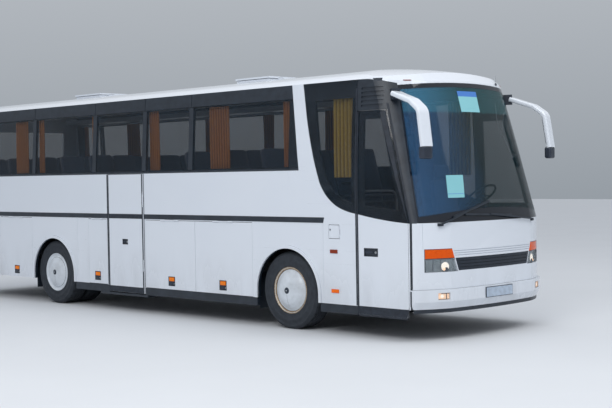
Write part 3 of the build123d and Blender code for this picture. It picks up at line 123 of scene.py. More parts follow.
class Finish:
    """A material under way: its tree, its surface shader and its place in the vehicle's frame."""

    def __init__(self, name, **surface):
        self.material = bpy.data.materials.new(name)
        self.material.use_nodes = True
        self.tree = self.material.node_tree
        self.tree.nodes.clear()
        self.place = self.add("TexCoord").node.outputs["Object"]
        values = {key.replace("_", " "): value for key, value in surface.items()}
        self.surface = self.add("BsdfPrincipled", values)
        self.add("OutputMaterial", {"Surface": self.surface})

    def add(self, kind, inputs=None, **settings):
        """Add a node with its settings; each input gets a value, or a link from the socket given."""
        made = self.tree.nodes.new("ShaderNode" + kind)
        for key, value in settings.items():
            setattr(made, key, value)
        for key, value in (inputs or {}).items():
            by_name = [s for s in made.inputs if s.enabled and s.name == key]
            socket = by_name[0] if by_name else made.inputs[key]
            if isinstance(value, bpy.types.NodeSocket):
                self.tree.links.new(value, socket)
            else:
                socket.default_value = value
        shown = [s for s in made.outputs if s.enabled]
        return shown[0] if shown else None

    def done(self, colour, height=None, depth=1 * MM, roughness=None):
        """Join the colour, the relief and the roughness to the surface, and give the material."""
        ends = {"Base Color": colour, "Roughness": roughness}
        if height is not None:
            ends["Normal"] = self.add("Bump", {"Height": height, "Distance": depth, "Strength": 1.0})
        for key, socket in ends.items():
            if socket is not None:
                self.tree.links.new(socket, self.surface.node.inputs[key])
        return self.material


def coach_enamel(name="sprayed_coach_enamel", dark=None):
    """Two-pack polyurethane enamel, sprayed on panels: smooth and glossy, with a road film low down."""
    f = Finish(name, Roughness=0.24, Coat_Weight=0.5, Coat_Roughness=0.06)
    height = f.add("SeparateXYZ", {"Vector": f.place}).node.outputs["Z"]
    low = f.add("MapRange", {"Value": height, "From Min": 0.30, "From Max": 1.0, "To Min": 1.0, "To Max": 0.0})
    streaks = f.add("Mapping", {"Vector": f.place, "Scale": (1, 1, 0.3)})
    film = f.add("TexNoise", {"Vector": streaks, "Scale": 1 / 0.30, "Detail": 4.0})
    film = f.add("MapRange", {"Value": film, "From Min": 0.35, "From Max": 0.80, "To Max": 0.45})
    share = f.add("Math", {0: low, 1: film}, operation="MULTIPLY")
    patch = f.add("TexNoise", {"Vector": f.place, "Scale": 1 / 1.2, "Detail": 2.0})
    clean = f.add("Mix", {"Factor": patch, "A": srgb("#D9DFE8"), "B": srgb("#DFE4EB")}, data_type="RGBA")
    tone = f.add("Mix", {"Factor": share, "A": clean, "B": srgb("#A4A6A8")}, data_type="RGBA")
    rough = f.add("MapRange", {"Value": share, "To Min": 0.22, "To Max": 0.75})
    if dark:
        tone = f.add("Mix", {"Factor": dark(f), "A": tone, "B": srgb("#1E2732")}, data_type="RGBA")
    waves = f.add("TexNoise", {"Vector": f.place, "Scale": 1 / 0.5, "Detail": 1.0})
    return f.done(tone, waves, 0.6 * MM, rough)


def screen_surround(f):
    """Share of the mask that is black: all above the belt, up to the arch of the windscreen's head."""
    axes = f.add("SeparateXYZ", {"Vector": f.place}).node.outputs
    square = f.add("Math", {0: axes["Y"], 1: axes["Y"]}, operation="MULTIPLY")
    arch = f.add("Math", {0: square, 1: 1 / SCREEN_ARCH, 2: axes["Z"]}, operation="MULTIPLY_ADD")
    under = f.add("Math", {0: arch, 1: 3.057}, operation="LESS_THAN")
    over = f.add("Math", {0: axes["Z"], 1: BELT_Z + 0.004}, operation="GREATER_THAN")
    return f.add("Math", {0: under, 1: over}, operation="MULTIPLY")


def wall_lining(f):
    """Share of a wall that is dark: its inner side and the flanges behind the panes."""
    axes = f.add("SeparateXYZ", {"Vector": f.place}).node.outputs
    out = f.add("Math", {0: axes["Y"]}, operation="ABSOLUTE")
    lean = f.add("MapRange", {"Value": axes["Z"], "From Min": WAIST_Z, "From Max": CANT_Z, "To Max": LEAN_IN})
    out = f.add("Math", {0: out, 1: lean}, operation="ADD")
    return f.add("Math", {0: out, 1: WALL_Y - 0.007}, operation="LESS_THAN")


def dusted(name, colours, patch, share, grain, depth, **surface):
    """Finish with a second colour in patches over a finer grain.

    Patch and grain are size and detail; share is the noise's limits, and the least and most of the second colour.
    """
    f = Finish(name, **surface)
    dust = f.add("TexNoise", {"Vector": f.place, "Scale": 1 / patch[0], "Detail": patch[1]})
    dust = f.add("MapRange", {"Value": dust, "From Min": share[0], "From Max": share[1], "To Min": share[2],
                              "To Max": share[3]})
    tone = f.add("Mix", {"Factor": dust, "A": srgb(colours[0]), "B": srgb(colours[1])}, data_type="RGBA")
    grain = f.add("TexNoise", {"Vector": f.place, "Scale": 1 / grain[0], "Detail": grain[1]})
    return f.done(tone, grain, depth)


def satin_black(name="moulded_black_plastic", deep="#1B232D", dusty="#37414D"):
    """Moulded black plastic: satin, with a fine grain and a grey dust in patches."""
    return dusted(name, (deep, dusty), (0.12, 4), (0.35, 0.80, 0, 0.45), (2.5 * MM, 2), 0.15 * MM, Roughness=0.42)


def tyre_rubber():
    """Vulcanised rubber: matt dark blue-grey, dusted lighter by the road."""
    return dusted("vulcanised_tyre_rubber", ("#20252C", "#3A4048"), (0.07, 5), (0.30, 0.75, 0.1, 0.65),
                  (3 * MM, 3), 0.3 * MM, Roughness=0.80)


def chassis_paint():
    """Underbody paint over steel: near black, matt, with dried road dust."""
    return dusted("underbody_paint", ("#15171A", "#3B3833"), (0.15, 5), (0.35, 0.75, 0, 0.55), (8 * MM, 3),
                  0.4 * MM, Roughness=0.7)


def cast_iron():
    """Sand-cast iron: rough skin, oily dark grey."""
    return dusted("sand_cast_iron", ("#5A5A58", "#26241F"), (0.2, 4), (0.4, 0.7, 0, 1), (6 * MM, 4), 0.6 * MM,
                  Roughness=0.62, Metallic=0.6)


def flecked(name, colours, size, share, depth, detail=2, **surface):
    """Finish whose second colour and whose relief follow one pattern.

    Share is the noise's limits, and the most of the second colour.
    """
    f = Finish(name, **surface)
    fleck = f.add("TexNoise", {"Vector": f.place, "Scale": 1 / size, "Detail": detail})
    spread = f.add("MapRange", {"Value": fleck, "From Min": share[0], "From Max": share[1], "To Max": share[2]})
    tone = f.add("Mix", {"Factor": spread, "A": srgb(colours[0]), "B": srgb(colours[1])}, data_type="RGBA")
    return f.done(tone, fleck, depth)


def rusty_flange():
    """Painted steel flange worn to its primer: brown-gold, with rust pits a few millimetres across."""
    return flecked("worn_rim_flange", ("#C6B08C", "#7C6248"), 14 * MM, (0.38, 0.62, 1), 0.4 * MM, 5,
                   Roughness=0.6, Metallic=0.3)


def floor_sheet():
    """Flecked vinyl flooring: grey with light flecks a few millimetres across."""
    return flecked("flecked_vinyl_sheet", ("#3A3D42", "#7C7F84"), 9 * MM, (0.62, 0.66, 1), 0.2 * MM, 1,
                   Roughness=0.55)


def plate_enamel():
    """Blank enamelled number plate: pale and satin, a little dusty."""
    return flecked("blank_plate_enamel", ("#B3C1D2", "#A2AFBF"), 60 * MM, (0.4, 0.7, 1), 0.2 * MM, Roughness=0.4)


def card(name, face):
    """Uncoated paper card: matt, with a faint tooth."""
    return flecked(name, (face, "#E8F2F4"), 6 * MM, (0, 1, 0.15), 0.1 * MM, 3, Roughness=0.75)


def lamp_mirror():
    """Vacuum-coated lamp bowl: bright aluminium under lacquer."""
    return flecked("vacuum_coated_reflector", ("#5E676C", "#A9B0B2"), 30 * MM, (0, 1, 1), 0.3 * MM,
                   Metallic=1.0, Roughness=0.16)


def lit_lamp(name, colour, power):
    """Glass in front of a burning halogen bulb: warm and bright, whitest where the bulb is."""
    return flecked(name, ("#E8D9BE", "#F4EEDF"), 20 * MM, (0, 1, 1), 0.3 * MM, Roughness=0.1,
                   Emission_Color=srgb(colour), Emission_Strength=power)


def seal_rubber():
    """Extruded EPDM rubber: matt blue-black, with fine lines and grey wear."""
    f = Finish("extruded_rubber_seal", Roughness=0.62)
    wear = f.add("TexNoise", {"Vector": f.place, "Scale": 1 / 0.05, "Detail": 5.0})
    wear = f.add("MapRange", {"Value": wear, "From Min": 0.40, "From Max": 0.85, "To Max": 0.6})
    tone = f.add("Mix", {"Factor": wear, "A": srgb("#161D28"), "B": srgb("#364150")}, data_type="RGBA")
    lines = f.add("Mapping", {"Vector": f.place, "Scale": (1, 1, 0.05)})
    lines = f.add("TexNoise", {"Vector": lines, "Scale": 1 / (3 * MM), "Detail": 1.0})
    return f.done(tone, lines, 0.2 * MM)


def tinted_glass():
    """Float glass with a dark body tint: mirror-smooth, slightly wavy, and seen through in part."""
    f = Finish("dark_tinted_glass", Roughness=0.03, IOR=1.5, Alpha=0.36)
    patch = f.add("TexNoise", {"Vector": f.place, "Scale": 1 / 0.9, "Detail": 2.0})
    patch = f.add("MapRange", {"Value": patch, "From Min": 0.3, "From Max": 0.7})
    tone = f.add("Mix", {"Factor": patch, "A": srgb("#101B24"), "B": srgb("#182835")}, data_type="RGBA")
    waves = f.add("TexNoise", {"Vector": f.place, "Scale": 1 / 0.6, "Detail": 1.0})
    return f.done(tone, waves, 0.8 * MM)


def screen_glass():
    """Laminated windscreen: clear blue-green body, a printed black edge, a darker band at its head, and a painted
    reflection across it: blue towards the right side, dark from the middle leftwards.
    """
    f = Finish("laminated_screen_glass", Roughness=0.03, IOR=1.5)
    axes = f.add("SeparateXYZ", {"Vector": f.place}).node.outputs
    square = f.add("Math", {0: axes["Y"], 1: axes["Y"]}, operation="MULTIPLY")
    # the head is arched, and the black foot rises 60 mm towards the middle
    head = f.add("Math", {0: square, 1: 1 / SCREEN_ARCH, 2: axes["Z"]}, operation="MULTIPLY_ADD")
    head = f.add("MapRange", {"Value": head, "From Min": 3.000, "From Max": 3.004})
    foot = f.add("Math", {0: square, 1: 0.06, 2: axes["Z"]}, operation="MULTIPLY_ADD")
    foot = f.add("MapRange", {"Value": foot, "From Min": 1.545, "From Max": 1.540})
    edge = f.add("Math", {0: axes["Z"], 1: 0.251, 2: axes["X"]}, operation="MULTIPLY_ADD")
    edge = f.add("MapRange", {"Value": edge, "From Min": 5.432, "From Max": 5.428})
    printed = f.add("Math", {0: head, 1: foot}, operation="MAXIMUM")
    printed = f.add("Math", {0: printed, 1: edge}, operation="MAXIMUM")
    band = f.add("MapRange", {"Value": axes["Z"], "From Min": 2.682, "From Max": 2.700})
    # painted reflection: blue sky towards the right side and dark trees from the middle leftwards, mottled by
    # noise; both tints of the body and of the band take it
    painted_reflection = f.add("MapRange", {"Value": axes["Y"], "From Min": -1.0, "From Max": 0.1})
    patch = f.add("TexNoise", {"Vector": f.place, "Scale": 1 / 0.5, "Detail": 3.0})
    painted_reflection = f.add("Math", {0: patch, 1: 0.35, 2: painted_reflection}, operation="MULTIPLY_ADD")
    body = f.add("Mix", {"Factor": painted_reflection, "A": srgb("#36608A"), "B": srgb("#122A30")}, data_type="RGBA")
    shade = f.add("Mix", {"Factor": painted_reflection, "A": srgb("#4584A6"), "B": srgb("#1C5056")}, data_type="RGBA")
    tone = f.add("Mix", {"Factor": band, "A": body, "B": shade}, data_type="RGBA")
    tone = f.add("Mix", {"Factor": printed, "A": tone, "B": srgb("#141A24")}, data_type="RGBA")
    solid = f.add("MapRange", {"Value": band, "To Min": 0.47, "To Max": 0.52})
    solid = f.add("Math", {0: solid, 1: printed}, operation="MAXIMUM")
    f.tree.links.new(solid, f.surface.node.inputs["Alpha"])
    waves = f.add("TexNoise", {"Vector": f.place, "Scale": 1 / 0.6, "Detail": 1.0})
    return f.done(tone, waves, 0.6 * MM)


def clear_lens():
    """Pressed lamp glass: clear, with upright flutes 9 mm apart."""
    f = Finish("pressed_lamp_glass", Roughness=0.05, IOR=1.5, Alpha=0.16)
    patch = f.add("TexNoise", {"Vector": f.place, "Scale": 1 / 0.05})
    tone = f.add("Mix", {"Factor": patch, "A": srgb("#8F9BA3"), "B": srgb("#B4BEC4")}, data_type="RGBA")
    flutes = f.add("TexWave", {"Vector": f.place, "Scale": math.pi / 10 / (9 * MM)}, bands_direction="Y")
    return f.done(tone, flutes, 0.5 * MM)


def moulded_lens(name, deep, bright, aged=None):
    """Moulded acrylic lens: glossy, deep in colour, with prisms 9 mm apart.

    One that has aged has that other tone from 0.8 m up.
    """
    f = Finish(name, Roughness=0.2, Specular_IOR_Level=0.2, Coat_Weight=0.12)
    cells = f.add("TexVoronoi", {"Vector": f.place, "Scale": 1 / (9 * MM)})
    tone = f.add("Mix", {"Factor": cells, "A": srgb(bright), "B": srgb(deep)}, data_type="RGBA")
    if aged:
        height = f.add("SeparateXYZ", {"Vector": f.place}).node.outputs["Z"]
        upper = f.add("MapRange", {"Value": height, "From Min": 0.70, "From Max": 0.80})
        tone = f.add("Mix", {"Factor": upper, "A": tone, "B": srgb(aged)}, data_type="RGBA")
    return f.done(tone, cells, 0.5 * MM)


def tail_lens():
    """Moulded acrylic lens in three colours: amber over red over clear, parted by dark ribs."""
    f = Finish("three_colour_tail_lens", Roughness=0.12, Coat_Weight=0.6)
    height = f.add("SeparateXYZ", {"Vector": f.place}).node.outputs["Z"]
    cells = f.add("TexVoronoi", {"Vector": f.place, "Scale": 1 / (9 * MM)})
    amber = f.add("MapRange", {"Value": height, "From Min": 1.318, "From Max": 1.320})
    clear = f.add("MapRange", {"Value": height, "From Min": 1.062, "From Max": 1.060})
    red = f.add("Mix", {"Factor": cells, "A": srgb("#B81014"), "B": srgb("#74060A")}, data_type="RGBA")
    tone = f.add("Mix", {"Factor": amber, "A": red, "B": srgb("#D85A0A")}, data_type="RGBA")
    tone = f.add("Mix", {"Factor": clear, "A": tone, "B": srgb("#A9ABAD")}, data_type="RGBA")
    ribs = f.add("TexWave", {"Vector": f.place, "Scale": math.pi / 10 / (12 * MM)}, bands_direction="Z")
    return f.done(tone, ribs, 0.4 * MM)


def wheel_enamel():
    """Enamelled pressed steel: white, greyed softly by brake dust."""
    f = Finish("enamelled_wheel_steel", Roughness=0.36, Coat_Weight=0.2)
    grime = f.add("TexNoise", {"Vector": f.place, "Scale": 1 / 0.16, "Detail": 5.0, "Roughness": 0.6})
    grime = f.add("MapRange", {"Value": grime, "From Min": 0.42, "From Max": 0.85, "To Max": 0.7})
    tone = f.add("Mix", {"Factor": grime, "A": srgb("#D3D9E0"), "B": srgb("#9FA3A6")}, data_type="RGBA")
    return f.done(tone, grime, 0.3 * MM)


def dash_skin():
    """Grained plastic skin: dark grey leather grain 4 mm across, low sheen."""
    f = Finish("grained_dash_skin", Roughness=0.6)
    grain = f.add("TexVoronoi", {"Vector": f.place, "Scale": 1 / (4 * MM)})
    patch = f.add("TexNoise", {"Vector": f.place, "Scale": 1 / 0.3})
    tone = f.add("Mix", {"Factor": patch, "A": srgb("#1D2024"), "B": srgb("#2B2F34")}, data_type="RGBA")
    return f.done(tone, grain, 0.4 * MM)


def seat_moquette():
    """Woven moquette: short dense pile in blue-grey, a small woven check and a soft sheen."""
    f = Finish("woven_seat_moquette", Roughness=0.9, Sheen_Weight=0.4)
    check = f.add("TexChecker", {"Vector": f.place, "Scale": 1 / (28 * MM)}).node.outputs["Fac"]
    pile = f.add("TexNoise", {"Vector": f.place, "Scale": 1 / (5 * MM), "Detail": 2.0})
    cloth = f.add("Mix", {"Factor": check, "A": srgb("#252F47"), "B": srgb("#2F3B54")}, data_type="RGBA")
    flecks = f.add("MapRange", {"Value": pile, "From Min": 0.45, "From Max": 0.75})
    tone = f.add("Mix", {"Factor": flecks, "A": cloth, "B": srgb("#5C606C")}, data_type="RGBA")
    return f.done(tone, pile, 0.8 * MM)


def drawn_aluminium():
    """Drawn aluminium: satin, with faint lines along its length."""
    f = Finish("drawn_aluminium", Metallic=1.0, Roughness=0.38)
    lines = f.add("Mapping", {"Vector": f.place, "Scale": (0.02, 1, 1)})
    lines = f.add("TexNoise", {"Vector": lines, "Scale": 1 / (4 * MM), "Detail": 2.0})
    tone = f.add("Mix", {"Factor": lines, "A": srgb("#A9ACAF"), "B": srgb("#C3C6C9")}, data_type="RGBA")
    return f.done(tone, lines, 0.1 * MM)


def curtain_cloth(name, deep, light, shade):
    """Woven polyester curtain: dull, with upright threads, and painted shade in its inner folds."""
    f = Finish(name, Roughness=0.88, Sheen_Weight=0.3)
    warp = f.add("Mapping", {"Vector": f.place, "Scale": (1, 1, 0.12)})
    warp = f.add("TexNoise", {"Vector": warp, "Scale": 1 / (2 * MM), "Detail": 1.0})
    share = f.add("MapRange", {"Value": warp, "From Min": 0.3, "From Max": 0.7})
    tone = f.add("Mix", {"Factor": share, "A": srgb(deep), "B": srgb(light)}, data_type="RGBA")
    # painted shade: darker where the pleats lie further in from the wall
    out = f.add("Math", {0: f.add("SeparateXYZ", {"Vector": f.place}).node.outputs["Y"]}, operation="ABSOLUTE")
    fold_shade = f.add("MapRange", {"Value": out, "From Min": CURTAIN_Y + 0.008, "From Max": CURTAIN_Y - 0.010,
                              "To Max": 0.85})
    tone = f.add("Mix", {"Factor": fold_shade, "A": tone, "B": srgb(shade)}, data_type="RGBA")
    return f.done(tone, warp, 0.3 * MM)


def silvered_glass():
    """Silvered mirror glass: colourless, perfectly smooth, with the faintest haze."""
    f = Finish("silvered_mirror_glass", Metallic=1.0, Roughness=0.02)
    haze = f.add("TexNoise", {"Vector": f.place, "Scale": 1 / 0.1})
    tone = f.add("Mix", {"Factor": haze, "A": srgb("#C2C8CC"), "B": srgb("#D6DADD")}, data_type="RGBA")
    return f.done(tone)


def build_materials():
    """All finishes; the slots of the construction are found here by their own names."""
    return {
        "white_paint": coach_enamel(),
        "mask_paint": coach_enamel("sprayed_mask_enamel", screen_surround),
        "wall_paint": coach_enamel("sprayed_wall_enamel", wall_lining),
        "black_plastic": satin_black(),
        "rubber": seal_rubber(),
        "tinted_glass": tinted_glass(),
        "windscreen": screen_glass(),
        "lamp_glass": clear_lens(),
        "orange_lens": moulded_lens("amber_moulded_lens", "#C84000", "#F46400"),
        "bright_lens": moulded_lens("bright_amber_lens", "#E06400", "#FF9018"),
        # fresh amber, but aged to red-brown on the upper pair
        "marker_lens": moulded_lens("side_marker_lens", "#D85200", "#FF7A08", "#843018"),
        "brown_lens": moulded_lens("aged_red_brown_lens", "#5E1A10", "#9C3C24"),
        "red_lens": tail_lens(),
        "reflector": lamp_mirror(),
        "lit_fog": lit_lamp("lit_fog_lamp", "#FFA850", 0.6),
        "lit_head": lit_lamp("lit_head_lamp", "#FFF6EE", 0.6),
        "mirror_housing": satin_black("mirror_housing_plastic", "#202835", "#3D4858"),
        "grille_paint": satin_black("grille_slat_enamel", "#0E1A28", "#1A2A3A"),
        "tyre_rubber": tyre_rubber(),
        "wheel_paint": wheel_enamel(),
        "rim_flange": rusty_flange(),
        "chassis_steel": chassis_paint(),
        "engine_iron": cast_iron(),
        "floor_board": floor_sheet(),
        "dash_plastic": dash_skin(),
        "seat_cloth": seat_moquette(),
        "rack_aluminium": drawn_aluminium(),
        # the third colour of each curtain is the painted shade in its folds
        "curtain_cloth": curtain_cloth("brown_curtain_cloth", "#C0702C", "#F0A450", "#6A3A18"),
        "gold_curtain": curtain_cloth("gold_curtain_cloth", "#CCA030", "#F8DC78", "#7A5C1C"),
        "plate_paint": plate_enamel(),
        "pale_card": card("pale_turquoise_card", "#7CC2CA"),
        "blue_card": card("blue_card_header", "#0E6CC4"),
        "mirror_glass": silvered_glass(),
    }


def paint(obj, *materials):
    """Append materials to an object, as its slots in turn."""
    for material in materials:
        obj.data.materials.append(material)


def dress_nodes():
    """Give every built piece the finish of its material slot."""
    by_node = {"windscreen": "windscreen", "mirror_arms": "white_paint", "front_mask": "mask_paint",
               "side_markers": "marker_lens", "grille": "grille_paint"}
    by_node.update({name: "wall_paint" for name in ("side_right", "side_left", "front_door")})
    for row in frame["record"]["subparts"]:
        nodes[row["node"]].data.materials.clear()
        paint(nodes[row["node"]], finish[by_node.get(row["node"], row["material_slot"])])


# Shapes

def block(x, y, z, soft=0.0, steps=2):
    """Box between two limits on each axis, its edges rounded by soft."""
    shape = bmesh.new()
    limits = [sorted(pair) for pair in (x, y, z)]
    size = Vector([b - a for a, b in limits])
    middle = Vector([(a + b) / 2 for a, b in limits])
    bmesh.ops.create_cube(shape, size=1.0, matrix=Matrix.LocRotScale(middle, None, size))
    if soft:
        bmesh.ops.bevel(shape, geom=shape.edges[:], offset=soft, offset_type="OFFSET", segments=steps,
                        profile=0.5, affect="EDGES", material=-1)
    return shape


def turned(points, steps=96, closed=False):
    """Surface spun about Y from a table of radius, y points."""
    shape = bmesh.new()
    chain = [shape.verts.new((r, y, 0)) for r, y in points]
    ends = chain[1:] + ([chain[0]] if closed else [])
    edges = [shape.edges.new(pair) for pair in zip(chain, ends)]
    bmesh.ops.spin(shape, geom=chain + edges, cent=(0, 0, 0), axis=(0, 1, 0), angle=2 * math.pi, steps=steps,
                   use_merge=True)
    bmesh.ops.remove_doubles(shape, verts=shape.verts, dist=1e-6)
    bmesh.ops.recalc_face_normals(shape, faces=shape.faces)
    return shape


def tube(points, radius):
    """Round bar along a path of points."""
    data = bpy.data.curves.new("bar", "CURVE")
    data.dimensions = "3D"
    data.bevel_depth = radius
    data.bevel_resolution = 3
    data.use_fill_caps = True
    line = data.splines.new("NURBS")
    line.points.add(len(points) - 1)
    for point, place in zip(line.points, points):
        point.co = (*place, 1)
    line.order_u = 3
    line.use_endpoint_u = True
    bar = bpy.data.objects.new("bar", data)
    mesh = bpy.data.meshes.new_from_object(bar)
    shape = bmesh.new()
    shape.from_mesh(mesh)
    bpy.data.objects.remove(bar)
    bpy.data.curves.remove(data)
    bpy.data.meshes.remove(mesh)
    bmesh.ops.remove_doubles(shape, verts=shape.verts, dist=1e-6)
    return shape


def tree_of(*names):
    """Search tree over built pieces, for laying trim on them."""
    shape = bmesh.new()
    for name in names:
        shape.from_mesh(nodes[name].data)
    tree = BVHTree.FromBMesh(shape)
    shape.free()
    return tree


def wall_y(z):
    """Half width of the plain side wall at a height."""
    return WALL_Y - max(0, z - WAIST_Z) / (CANT_Z - WAIST_Z) * LEAN_IN


def nose_area(y, z):
    """Corners of an upright area ahead of the nose."""
    return [(AHEAD_X, y[0], z[0]), (AHEAD_X, y[1], z[0]), (AHEAD_X, y[1], z[1]), (AHEAD_X, y[0], z[1])]


def side_area(x, z):
    """Corners of an upright area beside the right wall."""
    return [(x[0], BESIDE_Y, z[0]), (x[1], BESIDE_Y, z[0]), (x[1], BESIDE_Y, z[1]), (x[0], BESIDE_Y, z[1])]


def laid(corners, tree, aim, proud, thick, parts=(1, 8)):
    """Four-cornered panel laid along aim on a surface: its face is proud of it, and it is thick in all."""
    a, b, c, d = [Vector(p) for p in corners]
    aim = Vector(aim).normalized()
    shape = bmesh.new()
    bmesh.ops.create_grid(shape, x_segments=parts[0], y_segments=parts[1], size=0.5)
    for vert in shape.verts:
        u, v = vert.co.x + 0.5, vert.co.y + 0.5
        place = a.lerp(b, u).lerp(d.lerp(c, u), v)
        hit = tree.ray_cast(place - aim * 1.5, aim)[0] or tree.find_nearest(place)[0]
        if aim.y == 1 and hit.y > 0.06 - wall_y(place.z):
            hit = Vector((place.x, -wall_y(place.z), place.z))
        vert.co = hit - aim * proud
    out = bmesh.ops.extrude_face_region(shape, geom=shape.faces[:])
    moved = [v for v in out["geom"] if isinstance(v, bmesh.types.BMVert)]
    bmesh.ops.translate(shape, verts=moved, vec=aim * thick)
    return shape


class Piece:
    """A mesh put together from shapes, each in one of the piece's finishes."""

    def __init__(self, name, body, slot, *finishes):
        self.name, self.body, self.slot = name, body, slot
        self.finishes = finishes
        self.mesh = bmesh.new()

    def take(self, shape, number=0, place=None):
        """Add a shape in the finish of that number, moved to its place."""
        if place is not None:
            bmesh.ops.transform(shape, matrix=place, verts=shape.verts)
        for face in shape.faces:
            face.material_index = number
        part = bpy.data.meshes.new("part")
        shape.to_mesh(part)
        shape.free()
        self.mesh.from_mesh(part)
        bpy.data.meshes.remove(part)
        return self

    def show(self, angle=35, closed=True):
        """Make it a piece of the scene that rides on its body, with edges sharper than angle kept crisp."""
        if closed:
            bmesh.ops.recalc_face_normals(self.mesh, faces=self.mesh.faces)
        for face in self.mesh.faces:
            face.smooth = True
        data = bpy.data.meshes.new(self.name)
        self.mesh.to_mesh(data)
        self.mesh.free()
        data.set_sharp_from_angle(angle=math.radians(angle))
        piece = bpy.data.objects.new(self.name, data)
        bpy.context.scene.collection.objects.link(piece)
        paint(piece, *[finish[name] for name in self.finishes])
        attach(piece, self.body)
        return piece


MIRRORED = Matrix.Scale(-1, 4, (0, 1, 0))


def both_sides(piece, make, number=0):
    """A shape of the right side and its mirror image on the left."""
    piece.take(make(), number)
    piece.take(make(), number, MIRRORED)


# Wheels: tyres with their tread, and the trim of the covers

TREAD_STEPS = 150
# half of the tyre's outline, from the bead outwards: radius, distance from its middle
TYRE_HALF = [
    (0.2860, 0.119), (0.2950, 0.131), (0.3080, 0.139), (0.3110, 0.142), (0.3180, 0.1425), (0.3210, 0.141),
    (0.3500, 0.1455), (0.3700, 0.1465), (0.3720, 0.1480), (0.4020, 0.1485), (0.4040, 0.1468), (0.4300, 0.1465),
    (0.4520, 0.144), (0.4545, 0.1455), (0.4620, 0.1445), (0.4650, 0.142), (0.4800, 0.133), (0.4900, 0.122),
    (0.4940, 0.1145),
]
# rib edges of half a tread; a groove lies between each pair and the next
RIBS = [(0.1130, 0.0760), (0.0680, 0.0320), (0.0240, -0.0240)]
GROOVE_FOOT = 0.4850
OUTER_RIB = (0.076, 0.113)
NOTCH_EVERY = 5
# rings round the front cover: a dark ring painted as the shadow in the gap before the flange, then the flange in
# two beads with a dark line between them
# columns: finish, outline as radius, distance from the wheel's middle
FLANGE_RINGS = [
    (1, [(0.2600, 0.1160), (0.2660, 0.1140), (0.2760, 0.1215), (0.2760, 0.1185), (0.2660, 0.1115),
         (0.2600, 0.1135)]),
    (2, [(0.2730, 0.1215), (0.2780, 0.1270), (0.2840, 0.1290), (0.2870, 0.1270), (0.2870, 0.1240),
         (0.2730, 0.1185)]),
    (1, [(0.2860, 0.1275), (0.2920, 0.1300), (0.2920, 0.1260), (0.2860, 0.1240)]),
    (2, [(0.2905, 0.1310), (0.2960, 0.1370), (0.3030, 0.1305), (0.3035, 0.1285), (0.3000, 0.1265),
         (0.2905, 0.1250)]),
]


def tyre(piece, place):
    """Add a tyre with ribs, grooves and notches to a piece, at its place."""
    half = list(TYRE_HALF)
    for (outer, inner), (after, _) in zip(RIBS, RIBS[1:]):
        half += [(0.4955, outer), (0.4958, inner), (GROOVE_FOOT, inner - 0.001), (GROOVE_FOOT, after + 0.001)]
    half.append((0.4960, RIBS[2][0]))
    outline = half + [(r, -y) for r, y in reversed(half)]
    shape = turned(outline, TREAD_STEPS, closed=True)
    # lateral notches in the outer ribs
    notched = []
    for face in shape.faces:
        middle = face.calc_center_median()
        if OUTER_RIB[0] < abs(middle.y) < OUTER_RIB[1] and math.hypot(middle.x, middle.z) > 0.494:
            step = round(math.atan2(middle.z, middle.x) / (2 * math.pi) * TREAD_STEPS - 0.5)
            if step % NOTCH_EVERY == 0:
                notched.append(face)
    bmesh.ops.recalc_face_normals(shape, faces=shape.faces)
    bmesh.ops.inset_individual(shape, faces=notched, thickness=0.0045, depth=-0.008)
    piece.take(shape, 0, place)


def wheel_place(end, side, inner=False):
    """Place of a wheel, its Y pointing outwards; inner is the inner one of twin wheels."""
    y = TRACK_Y - (TWIN_SPACE if inner else 0)
    return Matrix.Translation((AXLE_X[end], side * y, WHEEL_Z)) @ Matrix.Scale(side, 4, (0, 1, 0))


def dome_y(end, radius):
    """Height of the cover's dome at a radius."""
    table = DOME[end]
    for (r0, y0), (r1, y1) in zip(table, table[1:]):
        if r0 <= radius <= r1:
            return y0 + (y1 - y0) * (radius - r0) / (r1 - r0)
    return table[-1][1]


def ring(end, radius, width, height):
    """Half-round bead on the cover at a radius."""
    points = []
    for i in range(7):
        turn = math.pi * i / 6
        r = radius - math.cos(turn) * width / 2
        points.append((r, dome_y(end, r) - 0.001 + math.sin(turn) * height))
    points.append((radius, dome_y(end, radius) - 0.003))
    return turned(points, 96, closed=True)


